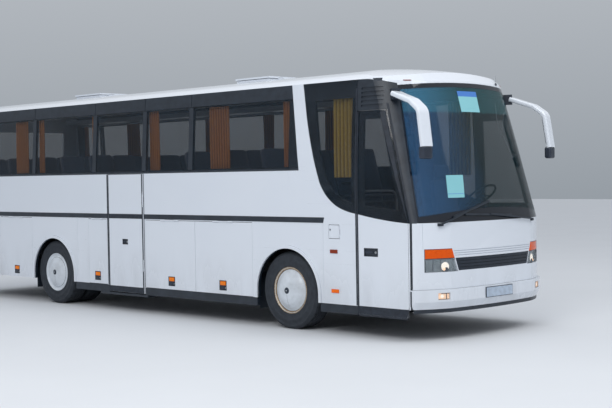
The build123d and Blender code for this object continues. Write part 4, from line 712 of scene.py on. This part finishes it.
def wheel_pieces():
    """Treaded tyres, and on each cover its beads, cap and seam, and the rings round the front ones."""
    for end in ("front", "rear"):
        for side, word in ((-1, "right"), (1, "left")):
            body = f"wheel_{end}_{word}"
            rubber = Piece(f"treaded_tyre_{end}_{word}", body, "tyre_rubber", "tyre_rubber")
            tyre(rubber, wheel_place(end, side))
            if end == "rear":
                tyre(rubber, wheel_place(end, side, inner=True))
            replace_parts(rubber.show(50), f"tyre_{end}_{word}")

            trim = Piece(f"wheel_trim_{end}_{word}", body, "wheel_paint", "wheel_paint", "mirror_housing",
                         "rim_flange")
            place = wheel_place(end, side)
            if end == "rear":
                for radius in (0.228, 0.244):
                    trim.take(ring(end, radius, 0.0075, 0.0035), 0, place)
                # the dark line between the two beads
                trim.take(ring(end, 0.236, 0.0060, 0.0012), 1, place)
            top = dome_y(end, 0)
            cap = [(0, top + 0.011), (0.015, top + 0.010), (0.019, top + 0.006), (0.034, top + 0.005),
                   (0.040, top + 0.002), (0.042, top - 0.006), (0, top - 0.006)]
            trim.take(turned(cap, 48), 1, place)
            nut = [(0, top + 0.0125), (0.007, top + 0.0125), (0.009, top + 0.009), (0, top + 0.009)]
            trim.take(turned(nut, 24), 0, place)
            seam = laid([(-0.0012, 0.30, -0.045), (0.0012, 0.30, -0.045), (0.0012, 0.30, -0.205),
                         (-0.0012, 0.30, -0.205)], DOME_TREES[end], (0, -1, 0), 0.0004, 0.002, (1, 12))
            trim.take(seam, 1, place)
            if end == "front":
                # the cover reaches nearly to the flange
                edge = dome_y(end, 0.248)
                lip = [(0.2480, edge + 0.0006), (0.2580, edge - 0.0010), (0.2620, edge - 0.0030),
                       (0.2630, edge - 0.0060), (0.2480, edge - 0.0060)]
                for number, outline in [(0, lip)] + FLANGE_RINGS:
                    trim.take(turned(outline, 96, closed=True), number, place)
            trim.show()


# Doors: rubber edges, the stripe's length on the middle door, handles and locks

SEAL = 0.022
SEAL_PROUD = 0.003
# the edges at the middle door's hinges stay clear of each other as it opens
HINGE_SPACE = 0.012
DOOR_X = (4.170, 5.000)
# the front door's leading edge leans back by this much over this rise
DOOR_LEAN = (0.410, 1.435)
MID_DOOR_X = (-0.885, -0.025)
GAP = 0.001


def leaning_edge(z):
    """Where the front door's leading edge is at a height."""
    back, rise = DOOR_LEAN
    return DOOR_X[1] - max(0, z - BELT_Z) / rise * back


def leaning(x, foot_z, head_z):
    """Limits along X carried up the front door's leading edge."""
    shift = leaning_edge(head_z) - leaning_edge(foot_z)
    return (x[0] + shift, x[1] + shift)


def seal(tree, foot, head, low, high):
    """Upright rubber edge on the right side, between two heights, with its x limits given at foot and head."""
    corners = [(foot[0], BESIDE_Y, low), (foot[1], BESIDE_Y, low), (head[1], BESIDE_Y, high),
               (head[0], BESIDE_Y, high)]
    return laid(corners, tree, (0, 1, 0), SEAL_PROUD, 0.004, (1, 24))


def door_pieces():
    """Rubbers of both doors and of their openings, handles, and the fuel flap's lock."""
    wall = tree_of("side_right", "front_mask", "front_bumper", "black_trims", "side_glass")
    leaf = tree_of("front_door", "front_door_glass")
    edges = Piece("front_door_leaf_rubber", "front_door", "black_plastic", "rubber")
    rear = (DOOR_X[0] + GAP, DOOR_X[0] + GAP + SEAL)
    front = (leaning_edge(0) - GAP - SEAL, leaning_edge(0) - GAP - 0.001)
    edges.take(seal(leaf, rear, rear, 0.287, 2.722))
    edges.take(seal(leaf, front, front, 0.287, BELT_Z))
    edges.take(seal(leaf, front, leaning(front, 0, 2.722), BELT_Z, 2.722))
    kick = side_area((rear[1] - 0.001, front[0] + 0.001), (0.286, 0.384))
    edges.take(laid(kick, leaf, (0, 1, 0), 0.002, 0.003, (16, 2)))
    edges.take(block((DOOR_X[0] + 0.010, 4.930), (-WALL_Y + 0.004, -WALL_Y + 0.040), (0.262, 0.2855), 0.004))
    edges.show()

    frame_edges = Piece("door_opening_rubber", "root", "black_plastic", "rubber")
    rear = (DOOR_X[0] - SEAL, DOOR_X[0] - 0.001)
    frame_edges.take(seal(wall, rear, rear, 0.385, 3.0))
    front = (DOOR_X[1] + 0.002, DOOR_X[1] + SEAL)
    frame_edges.take(seal(wall, front, front, 0.386, BELT_Z))
    frame_edges.take(seal(wall, front, leaning(front, 0, 2.80), BELT_Z, 2.80))
    for x in ((MID_DOOR_X[0] - SEAL, MID_DOOR_X[0] - 0.001),
              (MID_DOOR_X[1] + HINGE_SPACE, MID_DOOR_X[1] + SEAL)):
        frame_edges.take(seal(wall, x, x, 0.385, 2.022))
    frame_edges.show()

    edges = Piece("mid_door_leaf_rubber", "mid_door", "black_plastic", "rubber")
    left = (MID_DOOR_X[0] + GAP, MID_DOOR_X[0] + GAP + SEAL)
    right = (MID_DOOR_X[1] - HINGE_SPACE - SEAL, MID_DOOR_X[1] - HINGE_SPACE)
    leaf = tree_of("mid_door")
    for x in (left, right):
        edges.take(seal(leaf, x, x, 0.286, 2.017))
    edges.take(block((left[1], right[0]), (-WALL_Y - 0.003, -WALL_Y + 0.004), STRIPE_Z, 0.001, 1))
    edges.take(block((left[1], right[0]), (-WALL_Y - 0.002, -WALL_Y + 0.004), (0.286, 0.372), 0.001, 1))
    edges.show()

    # columns: piece, body, recess's x limits, z limits, places of the lever and the lock
    handles = [
        ("front_door_handle", "front_door", (4.282, 4.504), (0.983, 1.083), (4.300, 4.420), 4.462),
        ("mid_door_handle", "mid_door", (-0.537, -0.407), (0.991, 1.071), (-0.525, -0.450), -0.432),
    ]
    for name, body, x, z, lever, lock in handles:
        handle = Piece(name, body, "black_plastic", "black_plastic", "mirror_housing", "rack_aluminium")
        floor_y = -WALL_Y + RECESS
        middle = sum(z) / 2
        for rim in ((x, (z[0], z[0] + 0.007)), (x, (z[1] - 0.007, z[1])), ((x[0], x[0] + 0.007), z),
                    ((x[1] - 0.007, x[1]), z)):
            handle.take(block(rim[0], (-WALL_Y - 0.0025, floor_y), rim[1], 0.0015))
        handle.take(block(x, (floor_y - 0.0015, floor_y), z))
        handle.take(block(lever, (-WALL_Y - 0.002, floor_y - 0.003), (middle - 0.014, middle + 0.014),
                          0.004, 3), 1)
        disc = [(0, -0.010), (0.012, -0.010), (0.014, -0.008), (0.014, 0), (0, 0)]
        handle.take(turned(disc, 32), 2, Matrix.Translation((lock, floor_y, middle)))
        handle.take(block((lock - 0.006, lock + 0.006), (floor_y - 0.0108, floor_y - 0.008),
                          (middle - 0.001, middle + 0.001)))
        handle.show()

    lock = Piece("fuel_flap_lock", "fuel_flap", "black_plastic", "mirror_housing", "rack_aluminium")
    place = Matrix.Translation((3.722, -WALL_Y, 1.290))
    disc = [(0, -0.004), (0.008, -0.004), (0.011, -0.002), (0.012, 0.003), (0, 0.003)]
    lock.take(turned(disc, 32), 0, place)
    plug = [(0, -0.0055), (0.005, -0.0055), (0.006, -0.003), (0, -0.003)]
    lock.take(turned(plug, 24), 1, place)
    lock.show()


def flap_locks():
    """Black locks in the recesses of the luggage flaps, each under an amber marker."""
    for flap, side, x in LOCKS:
        lock = Piece(f"lock_{flap}", flap, "black_plastic", "black_plastic", "bright_lens", "mirror_housing",
                     "rack_aluminium")
        place = None if side < 0 else MIRRORED
        floor_y = -WALL_Y + RECESS
        low, high = LOCK_Z
        pan = block((x - 0.073, x + 0.073), (-WALL_Y - 0.0015, floor_y), (low + 0.001, high - 0.001), 0.003)
        faces = [f for f in pan.faces if f.calc_center_median().y < -WALL_Y - 0.001]
        bmesh.ops.inset_region(pan, faces=faces, thickness=0.007, depth=0)
        bmesh.ops.translate(pan, verts=list({v for f in faces for v in f.verts}), vec=(0, 0.007, 0))
        lock.take(pan, 0, place)
        # lens and paddle
        lock.take(block((x - 0.056, x + 0.056), (-WALL_Y - 0.004, floor_y - 0.004), (high - 0.066, high - 0.012),
                        0.004, 3), 1, place)
        lock.take(block((x - 0.052, x + 0.030), (-WALL_Y - 0.001, floor_y - 0.004), (low + 0.014, low + 0.054),
                        0.004, 3), 2, place)
        disc = [(0, -0.004), (0.008, -0.004), (0.009, -0.002), (0.009, 0.004), (0, 0.004)]
        key = Matrix.Translation((x + 0.048, -WALL_Y + 0.004, low + 0.034))
        lock.take(turned(disc, 24), 3, key if place is None else place @ key)
        lock.show()


# Lamps at the nose

# the way that panels are laid on the nose
BACKWARDS = (-1, 0, 0)
# upright hollows in the headlamp's bowl: middle and radius of the round one, then the flutes beside it
BOWL, BOWL_RADIUS = (-0.868, 0.870), 0.066
# columns: Y limits, depth, width of a flute, where the first one starts
FLUTES = [((-1.2, -0.930), 0.009, 0.047, -1.118), ((-0.800, -0.6), 0.005, 0.024, -0.800)]
# lenses of the headlamp: the bright one in its dark bowl, then the bulb's dark and warm shapes before it
# columns: y, z, radius, depth behind the glass, finish
LENSES = [
    (-0.868, 0.870, 0.064, 0.026, 1), (-0.868, 0.874, 0.055, 0.021, 2), (-0.858, 0.838, 0.030, 0.013, 1),
    (-0.888, 0.846, 0.017, 0.010, 3),
]
FOG_Y, FOG_Z = (-1.001, -0.859), (0.498, 0.569)
# dark bars of the fog lamp, as limits along Y and Z
FOG_BARS = [((-0.960, -0.859), (0.5610, 0.5690)), (FOG_Y, (0.4980, 0.5025)), ((-0.902, -0.892), FOG_Z)]
# dark joints between and round the headlamp and the turn lamp: limits along Y and Z, and their divisions
LAMP_JOINTS = [
    ((-1.110, -0.744), (0.967, 0.973), (28, 1)), ((-1.118, -0.795), (1.0765, 1.0825), (28, 1)),
    ((-1.124, -1.117), (0.816, 1.0825), (1, 20)),
]


def lamp_pieces():
    """Bowls and bright lenses behind the headlamp glass, and in the fog lamps."""
    glass = tree_of("headlamps")
    lamp = Piece("headlamp_bowls", "root", "lamp_glass", "reflector", "mirror_housing", "lit_head", "lit_fog")

    def pan():
        corners = [(AHEAD_X, -1.118, 0.818), (AHEAD_X, -0.705, 0.818), (AHEAD_X, -0.752, 0.962),
                   (AHEAD_X, -1.118, 0.962)]
        shape = laid(corners, glass, BACKWARDS, -0.016, 0.002, (36, 14))
        for vert in shape.verts:
            off = math.hypot(vert.co.y - BOWL[0], vert.co.z - BOWL[1]) / BOWL_RADIUS
            if off < 1:
                vert.co.x -= 0.012 * (1 - off * off)
                continue
            for between, depth, width, start in FLUTES:
                if between[0] < vert.co.y < between[1]:
                    vert.co.x -= depth * abs(math.sin(math.pi * (vert.co.y - start) / width))
        return shape

    def disc(y, z, radius, depth):
        """Round glass, crowned, facing along the nose at that place."""
        hit = glass.ray_cast(Vector((AHEAD_X, y, z)), Vector(BACKWARDS))
        points = [(0, 0.010), (radius * 0.5, 0.0088), (radius * 0.85, 0.005), (radius, 0), (radius, -0.004),
                  (0, -0.004)]
        turn = Vector((0, 1, 0)).rotation_difference(Vector((hit[1].x, hit[1].y, 0)))
        place = Matrix.Translation(hit[0] + Vector((-depth, 0, 0))) @ turn.to_matrix().to_4x4()
        shape = turned(points, 48)
        bmesh.ops.transform(shape, matrix=place, verts=shape.verts)
        return shape

    def sunk(y, z, depth, parts):
        """Panel behind the lamp glass."""
        return lambda: laid(nose_area(y, z), glass, BACKWARDS, -depth, 0.002, parts)

    both_sides(lamp, pan, 0)
    for y, z, radius, depth, number in LENSES:
        both_sides(lamp, lambda: disc(y, z, radius, depth), number)
    # dark dividers between the bowl's parts
    for y in ((-1.026, -1.018), (-0.934, -0.929)):
        both_sides(lamp, sunk(y, (0.820, 0.960), 0.012, (1, 8)), 1)
    both_sides(lamp, sunk(FOG_Y, FOG_Z, 0.014, (12, 6)), 3)
    both_sides(lamp, lambda: disc(-0.945, 0.534, 0.034, 0.022), 2)
    for y, z in FOG_BARS:
        both_sides(lamp, sunk(y, z, 0.011, (4, 4)), 1)
    lamp.show()

    trim = Piece("turn_lamp_joint", "root", "black_plastic", "mirror_housing")
    lenses = tree_of("headlamps", "turn_lamps")
    for y, z, parts in LAMP_JOINTS:
        both_sides(trim, lambda: laid(nose_area(y, z), lenses, BACKWARDS, 0.0012, 0.004, parts))
    trim.show()

    marks = Piece("front_roof_markers", "root", "orange_lens", "brown_lens")
    brow = tree_of("front_mask", "roof")
    both_sides(marks, lambda: laid(nose_area((-0.962, -0.882), (3.068, 3.080)), brow, BACKWARDS, 0.006, 0.012,
                                   (6, 2)))
    marks.show()


# Mirrors: glass on the rear of the housings and of the small heads

MIRROR_AIM = Vector((0.540, -0.100, 0)).normalized()
# where the right arm leaves the body
ARM_ROOT = Vector((4.735, -1.148, 0))


def mirror_pieces():
    """Mirror glass in its dark edge, on the hanging housings and on the small heads."""
    arms, heads = tree_of("mirror_arms"), tree_of("mirror_heads")
    across = Vector((-MIRROR_AIM.y, MIRROR_AIM.x, 0))
    glass = Piece("mirror_glass", "root", "mirror_housing", "mirror_glass", "mirror_housing")

    def panel(tree, run, low, high, half, proud, drift=0.0):
        """Panel on the rear of a mirror: run along the arm, heights, half width, and drift of its head."""
        corners = [ARM_ROOT + MIRROR_AIM * r + across * a + Vector((0, 0, z))
                   for r, a, z in ((run, -half, low), (run, half, low), (run - drift, half, high),
                                   (run - drift, -half, high))]
        return laid(corners, tree, MIRROR_AIM, proud, 0.006, (6, 12))

    both_sides(glass, lambda: panel(arms, 0.52, 2.320, 2.640, 0.072, 0.003, 0.04), 1)
    both_sides(glass, lambda: panel(arms, 0.52, 2.328, 2.632, 0.064, 0.005, 0.04), 0)
    both_sides(glass, lambda: panel(heads, 0.53, 2.150, 2.252, 0.055, 0.003), 0)
    glass.show()


# Cards and the blind's arm behind the windscreen

# columns: y along the foot, y along the head, their z, how far proud, thickness, divisions, finish
CARDS = [
    ((-0.267, 0.084), (-0.263, 0.096), (2.700, 2.890), 0.0014, 0.0016, (6, 6), 0),
    ((-0.263, 0.096), (-0.262, 0.100), (2.890, 2.955), 0.0014, 0.0016, (6, 3), 1),
    ((-0.783, -0.515), (-0.755, -0.480), (1.672, 1.938), 0.0014, 0.0016, (6, 6), 0),
    # fold of the lower card
    ((-0.780, -0.512), (-0.779, -0.511), (1.716, 1.721), 0.0020, 0.0012, (6, 1), 1),
]


def screen_pieces():
    """Cards stuck to the windscreen, and the arm of the driver's blind behind it."""
    glass = tree_of("windscreen")
    cards = Piece("screen_cards", "root", "plate_paint", "pale_card", "blue_card")
    for foot, head, (low, high), proud, thick, parts, number in CARDS:
        corners = [(AHEAD_X, foot[0], low), (AHEAD_X, foot[1], low), (AHEAD_X, head[1], high),
                   (AHEAD_X, head[0], high)]
        cards.take(laid(corners, glass, BACKWARDS, proud, thick, parts), number)
    cards.show()

    blind = Piece("sun_blind", "root", "rack_aluminium", "white_paint", "dash_plastic")
    blind.take(tube([(4.80, 0.700, 2.840), (4.92, 0.575, 2.600), (4.935, 0.560, 2.560), (4.95, 0.590, 2.500),
                     (5.02, 0.770, 2.140)], 0.004), 0)
    blind.take(block((4.700, 4.730), (0.250, 1.000), (2.900, 2.960), 0.012, 3), 1)
    blind.show()


# Inside: curtains, seats, dashboard

CURTAIN_TOP = 2.922
# right side, from the rear; columns: rear x, front x, foot z, pleats, finish
CURTAINS = [
    (-4.890, -4.760, 2.062, 3, "curtain_cloth"), (-3.570, -3.200, 2.062, 7, "curtain_cloth"),
    (-2.880, -2.730, 2.062, 3, "curtain_cloth"), (-1.410, -1.290, 2.062, 3, "curtain_cloth"),
    (0.010, 0.240, 2.062, 5, "curtain_cloth"), (1.350, 1.760, 2.062, 8, "curtain_cloth"),
    (2.810, 3.030, 2.062, 5, "curtain_cloth"), (3.700, 4.070, 1.930, 6, "gold_curtain"),
]
# how far a pleat swings to each side of the rail
PLEAT = 0.013


def curtain_pieces():
    """Gathered curtains: pleats drawn together at the rail, a little looser and drifting at the hem."""
    first = None
    for side, word in ((-1, "right"), (1, "left")):
        for number, (rear, front, foot, pleats, cloth) in enumerate(CURTAINS):
            shape = bmesh.new()
            across = pleats * 10
            bmesh.ops.create_grid(shape, x_segments=across, y_segments=16, size=0.5)
            wide = front - rear
            drop = CURTAIN_TOP - foot
            for vert in shape.verts:
                u, v = vert.co.x + 0.5, vert.co.y + 0.5
                phase = 2 * math.pi * pleats * u + 0.5 * math.sin(3 * v + number)
                depth = PLEAT * (0.75 + 0.25 * (1 - v)) * (0.85 + 0.15 * math.sin(5 * u + number))
                sway = 0.30 / pleats * math.sin(phase * 2) * wide / (2 * math.pi)
                vert.co = (rear + wide * u + sway, side * (CURTAIN_Y + depth * math.sin(phase)), foot + drop * v)
            area = sum(f.calc_area() for f in shape.faces)
            piece = Piece(f"curtain_{word}_{number + 1}", "root", "curtain_cloth", cloth)
            piece.take(shape)
            made = piece.show(180, closed=False)
            if first is None:
                first = made
    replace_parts(first, "curtains")


def cushion(x, y, z, soft, crown, channels=0, axis=2):
    """Crowned, sewn pad: rounded edges, sides pulled in, channels across its face. Crown rises along axis."""
    shape = block(x, y, z)
    bmesh.ops.subdivide_edges(shape, edges=shape.edges[:], cuts=9, use_grid_fill=True)
    limits = [sorted(pair) for pair in (x, y, z)]
    middle = Vector([(a + b) / 2 for a, b in limits])
    half = Vector([(b - a) / 2 for a, b in limits])
    for vert in shape.verts:
        off = vert.co - middle
        share = [max(-1, min(1, off[i] / half[i])) for i in range(3)]
        # draw the surface towards a box with edges rounded by soft
        core = Vector([max(-half[i] + soft, min(half[i] - soft, off[i])) for i in range(3)])
        edge = off - core
        if edge.length > 1e-6:
            off = core + edge.normalized() * min(soft, edge.length)
        others = [i for i in range(3) if i != axis]
        rise = (1 - share[others[0]] ** 2) * (1 - share[others[1]] ** 2)
        if channels:
            wave = abs(math.sin(math.pi * channels * (share[1] + 1) / 2))
            rise -= 0.35 * math.exp(-(wave / 0.25) ** 2) * (abs(share[axis]) > 0.9)
        off[axis] += crown * (rise - 0.5) * (1 if share[axis] > 0 else 0.2)
        vert.co = middle + off
    bmesh.ops.smooth_vert(shape, verts=shape.verts, factor=0.4, use_axis_x=True, use_axis_y=True, use_axis_z=True)
    return shape


def leaned(x, z, degrees):
    """Turn about a cross axis through x, z."""
    centre = Matrix.Translation((x, 0, z))
    return centre @ Matrix.Rotation(math.radians(degrees), 4, "Y") @ centre.inverted()


def seat_pieces():
    """Passenger seats in pairs, each with two cushions, two backs and a frame."""
    pads = Piece("passenger_seat_pads", "root", "seat_cloth", "seat_cloth")
    stands = Piece("passenger_seat_frames", "root", "seat_cloth", "dash_plastic")
    half = (SEAT_Y[1] - SEAT_Y[0]) / 2

    def over_deck(low, high):
        return DECK_Z + low, DECK_Z + high

    for row in range(SEAT_ROWS):
        x = FIRST_SEAT_X - SEAT_PITCH * row
        lean = leaned(x - 0.2, DECK_Z + 0.43, SEAT_LEAN)
        for side in (-1, 1):
            if side < 0 and STAIRS_X[0] < x < STAIRS_X[1]:
                continue
            for place in (0, 1):
                y = sorted((side * (SEAT_Y[0] + place * half + 0.006),
                            side * (SEAT_Y[0] + (place + 1) * half - 0.006)))
                pads.take(cushion((x - 0.215, x + 0.218), y, over_deck(0.345, 0.452), 0.030, 0.016, 2))
                pads.take(cushion((x - 0.232, x - 0.142), y, over_deck(0.450, 1.115), 0.026, 0.014, 2, 0), 0, lean)
            # base, two feet, the back's shell and the arm rest at the aisle
            y = sorted((side * SEAT_Y[0], side * SEAT_Y[1]))
            stands.take(block((x - 0.22, x + 0.21), y, over_deck(0.332, 0.350), 0.006))
            for foot in ((y[0] + 0.24, y[0] + 0.30), (y[1] - 0.30, y[1] - 0.24)):
                stands.take(block((x - 0.13, x + 0.13), foot, over_deck(0.001, 0.34), 0.01))
            stands.take(block((x - 0.250, x - 0.228), (y[0] + 0.012, y[1] - 0.012), over_deck(0.440, 1.08), 0.008),
                        0, lean)
            aisle = side * (SEAT_Y[0] + 0.014)
            stands.take(block((x - 0.19, x + 0.10), (aisle - 0.013, aisle + 0.013), over_deck(0.60, 0.63), 0.01))
    made = pads.show(60)
    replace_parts(made, "passenger_seats")
    stands.show()

    x, y = DRIVER
    pads = Piece("driver_seat_pads", "root", "seat_cloth", "seat_cloth")
    pads.take(cushion((x - 0.215, x + 0.235), (y - 0.245, y + 0.245), (CAB_Z + 0.350, CAB_Z + 0.455),
                      0.035, 0.02, 3))
    lean = leaned(x - 0.18, CAB_Z + 0.44, DRIVER_LEAN)
    pads.take(cushion((x - 0.225, x - 0.125), (y - 0.235, y + 0.235), (CAB_Z + 0.460, CAB_Z + 0.980),
                      0.03, 0.02, 3, 0), 0, lean)
    # head rest
    pads.take(cushion((x - 0.220, x - 0.140), (y - 0.140, y + 0.140), (CAB_Z + 1.000, CAB_Z + 1.180),
                      0.03, 0.015, 0, 0), 0, lean)
    made = pads.show(60)
    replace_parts(made, "driver_seat")
    stand = Piece("driver_seat_frame", "root", "seat_cloth", "dash_plastic")
    stand.take(block((x - 0.15, x + 0.15), (y - 0.15, y + 0.15), (CAB_Z + 0.001, CAB_Z + 0.10), 0.012))
    stand.take(block((x - 0.11, x + 0.11), (y - 0.11, y + 0.11), (CAB_Z + 0.10, CAB_Z + 0.28), 0.03, 3))
    stand.take(block((x - 0.21, x + 0.21), (y - 0.22, y + 0.22), (CAB_Z + 0.28, CAB_Z + 0.350), 0.012))
    stand.show()


# rear face of the instrument panel
PANEL_X = 4.700
# dials: place across the panel, radius
DIALS = ((-0.14, 0.030), (-0.05, 0.024), (0.05, 0.024), (0.14, 0.030))
# steering wheel's middle as x, z, and a point further down its column
WHEEL_HUB, COLUMN = (4.590, 1.660), (4.790, 1.405)
RAIL_RADIUS = 0.016


def cab_pieces():
    """Instruments, switches and wheel boss, and rails beside the stairs."""
    x, y = PANEL_X, DRIVER[1]
    cab = Piece("instrument_panel", "root", "dash_plastic", "dash_plastic", "mirror_housing", "rack_aluminium")
    cab.take(block((x, x + 0.24), (y - 0.26, y + 0.26), (1.400, 1.490), 0.030, 4))
    cab.take(block((x - 0.006, x + 0.004), (y - 0.22, y + 0.22), (1.408, 1.478), 0.004), 1)
    for dy, radius in DIALS:
        rim = [(radius, 0), (radius, 0.005), (radius + 0.003, 0.005), (radius + 0.003, 0)]
        place = Matrix.Translation((x - 0.006, y + dy, 1.443)) @ Matrix.Rotation(math.radians(90), 4, "Z")
        cab.take(turned(rim, 40, closed=True), 2, place)
    # two switches beyond the panel, five on its near side
    for i in range(7):
        at = y + 0.33 - 0.045 * i if i < 2 else y - 0.30 - 0.045 * (i - 2)
        cab.take(block((x + 0.02, x + 0.03), (at - 0.017, at + 0.017), (1.402, 1.425), 0.003), 1)
    cab.show()

    boss = Piece("steering_boss", "root", "dash_plastic", "dash_plastic", "mirror_housing")
    axis = Vector((WHEEL_HUB[0] - COLUMN[0], 0, WHEEL_HUB[1] - COLUMN[1])).normalized()
    turn = Vector((0, 1, 0)).rotation_difference(axis).to_matrix().to_4x4()
    place = Matrix.Translation((WHEEL_HUB[0], y, WHEEL_HUB[1])) @ turn
    cap = [(0, 0.034), (0.030, 0.033), (0.050, 0.026), (0.058, 0.010), (0.058, -0.010), (0.030, -0.018),
           (0, -0.018)]
    boss.take(turned(cap, 48), 0, place)
    button = [(0, 0.040), (0.018, 0.040), (0.022, 0.034), (0, 0.034)]
    boss.take(turned(button, 32), 1, place)
    boss.show()

    rails = Piece("hand_rails", "root", "rack_aluminium", "rack_aluminium")
    # one behind the front stairs, two at the middle ones, each from the floor up and across to the wall
    rails.take(tube([(4.200, -0.540, 0.905), (4.200, -0.540, 1.60), (4.200, -0.560, 1.74), (4.200, -0.700, 1.76),
                     (4.200, -1.120, 1.76)], RAIL_RADIUS))
    for x in (-0.830, -0.080):
        rails.take(tube([(x, -0.590, 1.235), (x, -0.590, 1.90), (x, -0.610, 2.02), (x, -0.740, 2.04),
                         (x, -1.120, 2.04)], RAIL_RADIUS))
    rails.show()


# Small trim of the body

PANE_JOINTS = (-4.420, -2.890, -1.230, 0.0, 1.050)
# head and foot of the plate's frame, then its two ends: limits along Y and Z
PLATE_FRAME = [
    ((-0.266, 0.266), (0.469, 0.477)), ((-0.266, 0.266), (0.587, 0.595)), ((-0.266, -0.259), (0.477, 0.587)),
    ((0.259, 0.266), (0.477, 0.587)),
]
HATCHES = (("front", 1.400), ("rear", -2.600))
# four strips under a hatch's rim: limits along X from its middle, limits along Y
HATCH_SEAL = [
    ((-0.338, 0.338), (-0.368, -0.352)), ((-0.338, 0.338), (0.352, 0.368)), ((-0.338, -0.322), (-0.352, 0.352)),
    ((0.308, 0.322), (-0.352, 0.352)),
]


def body_pieces():
    """Strips between the panes, plate frame, aerial, hatch seals and the engine lid's handle."""
    joints = Piece("pane_joint_strips", "root", "black_plastic", "black_plastic")
    panes = tree_of("side_glass")
    for x in PANE_JOINTS:
        both_sides(joints, lambda: laid(side_area((x - 0.045, x + 0.045), (2.064, 2.924)), panes, (0, 1, 0),
                                        0.0008, 0.0016, (1, 6)))
    joints.show()

    nose = Piece("plate_frame", "root", "black_plastic", "mirror_housing")
    for y, z in PLATE_FRAME:
        nose.take(block((5.322, 5.3485), y, z, 0.0015))
    nose.show()

    roof = tree_of("roof", "front_mask")
    aerial = Piece("roof_aerial", "root", "black_plastic", "mirror_housing", "rack_aluminium")
    hit = roof.ray_cast(Vector((4.840, 0.660, 4.0)), Vector((0, 0, -1)))[0]
    foot = [(0, 0.022), (0.008, 0.022), (0.014, 0.012), (0.020, -0.006), (0, -0.006)]
    upright = Matrix.Translation(hit) @ Matrix.Rotation(math.radians(90), 4, "X")
    aerial.take(turned(foot, 32), 0, upright)
    # a mast that leans back a little
    mast = [tuple(hit + Vector((-back, 0, up))) for back, up in ((0, 0.015), (0.004, 0.06), (0.012, 0.120))]
    aerial.take(tube(mast, 0.008), 1)
    aerial.show()

    for name, x in HATCHES:
        rim = Piece(f"roof_hatch_seal_{name}", f"roof_hatch_{name}", "black_plastic", "rubber")
        for along, y in HATCH_SEAL:
            rim.take(block((x + along[0], x + along[1]), y, (3.3215, 3.3265), 0.001, 1))
        rim.show()

    tail = Piece("engine_lid_handle", "engine_lid", "black_plastic", "black_plastic", "mirror_housing")
    tail.take(block((-5.3420, -5.330), (-0.075, 0.075), (0.792, 0.832), 0.003))
    tail.take(block((-5.3450, -5.338), (-0.055, 0.055), (0.802, 0.818), 0.003), 1)
    tail.show()


def make_stage():
    """Pale floor, pale surroundings and soft studio light."""
    f = Finish("studio_floor", Roughness=0.9)
    cloud = f.add("TexNoise", {"Vector": f.place, "Scale": 1 / 1.5})
    tone = f.add("Mix", {"Factor": cloud, "A": srgb("#D3D6DA"), "B": srgb("#D8DBDF")}, data_type="RGBA")
    mesh = bmesh.new()
    bmesh.ops.create_grid(mesh, x_segments=1, y_segments=1, size=60)
    data = bpy.data.meshes.new("studio_floor")
    mesh.to_mesh(data)
    mesh.free()
    floor = bpy.data.objects.new("studio_floor", data)
    bpy.context.scene.collection.objects.link(floor)
    paint(floor, f.done(tone))

    world = bpy.data.worlds.new("studio")
    bpy.context.scene.world = world
    world.use_nodes = True
    sky = world.node_tree.nodes["Background"]
    sky.inputs["Strength"].default_value = 0.85
    # greyer towards the horizon, as a backdrop is
    links, make = world.node_tree.links, world.node_tree.nodes.new
    split, fade, mix = make("ShaderNodeSeparateXYZ"), make("ShaderNodeMapRange"), make("ShaderNodeMixRGB")
    links.new(make("ShaderNodeNewGeometry").outputs["Incoming"], split.inputs[0])
    links.new(split.outputs["Z"], fade.inputs["Value"])
    fade.inputs["From Min"].default_value, fade.inputs["From Max"].default_value = 0.05, -0.45
    links.new(fade.outputs[0], mix.inputs["Fac"])
    mix.inputs["Color1"].default_value, mix.inputs["Color2"].default_value = srgb("#9CA4AC"), srgb("#E8ECF2")
    links.new(mix.outputs[0], sky.inputs["Color"])

    # columns: name, place, aimed at, width and height, watts
    lamps = [
        ("key_lamp", (9, -13, 11), (1, 0, 1.4), (9, 6), 900),
        ("nose_lamp", (12, 1, 12), (4, 0, 1.4), (7, 6), 420),
        ("top_lamp", (-2, 0, 14), (-2, 0, 0), (14, 6), 240),
    ]
    for name, place, aim, size, watts in lamps:
        data = bpy.data.lights.new(name, "AREA")
        data.shape = "RECTANGLE"
        data.size, data.size_y = size
        data.energy = watts
        lamp = bpy.data.objects.new(name, data)
        lamp.location = place
        lamp.rotation_euler = (Vector(aim) - Vector(place)).to_track_quat("-Z", "Y").to_euler()
        bpy.context.scene.collection.objects.link(lamp)


def dome_tree(end):
    """Search tree over a cover's dome, in the wheel's own frame."""
    shape = turned(DOME[end], 96)
    tree = BVHTree.FromBMesh(shape)
    shape.free()
    return tree


make_camera()
finish = build_materials()
DOME_TREES = {end: dome_tree(end) for end in DOME}
dress_nodes()
wheel_pieces()
door_pieces()
flap_locks()
lamp_pieces()
mirror_pieces()
screen_pieces()
curtain_pieces()
seat_pieces()
cab_pieces()
body_pieces()
make_stage()
bpy.context.scene.view_settings.view_transform = "Standard"
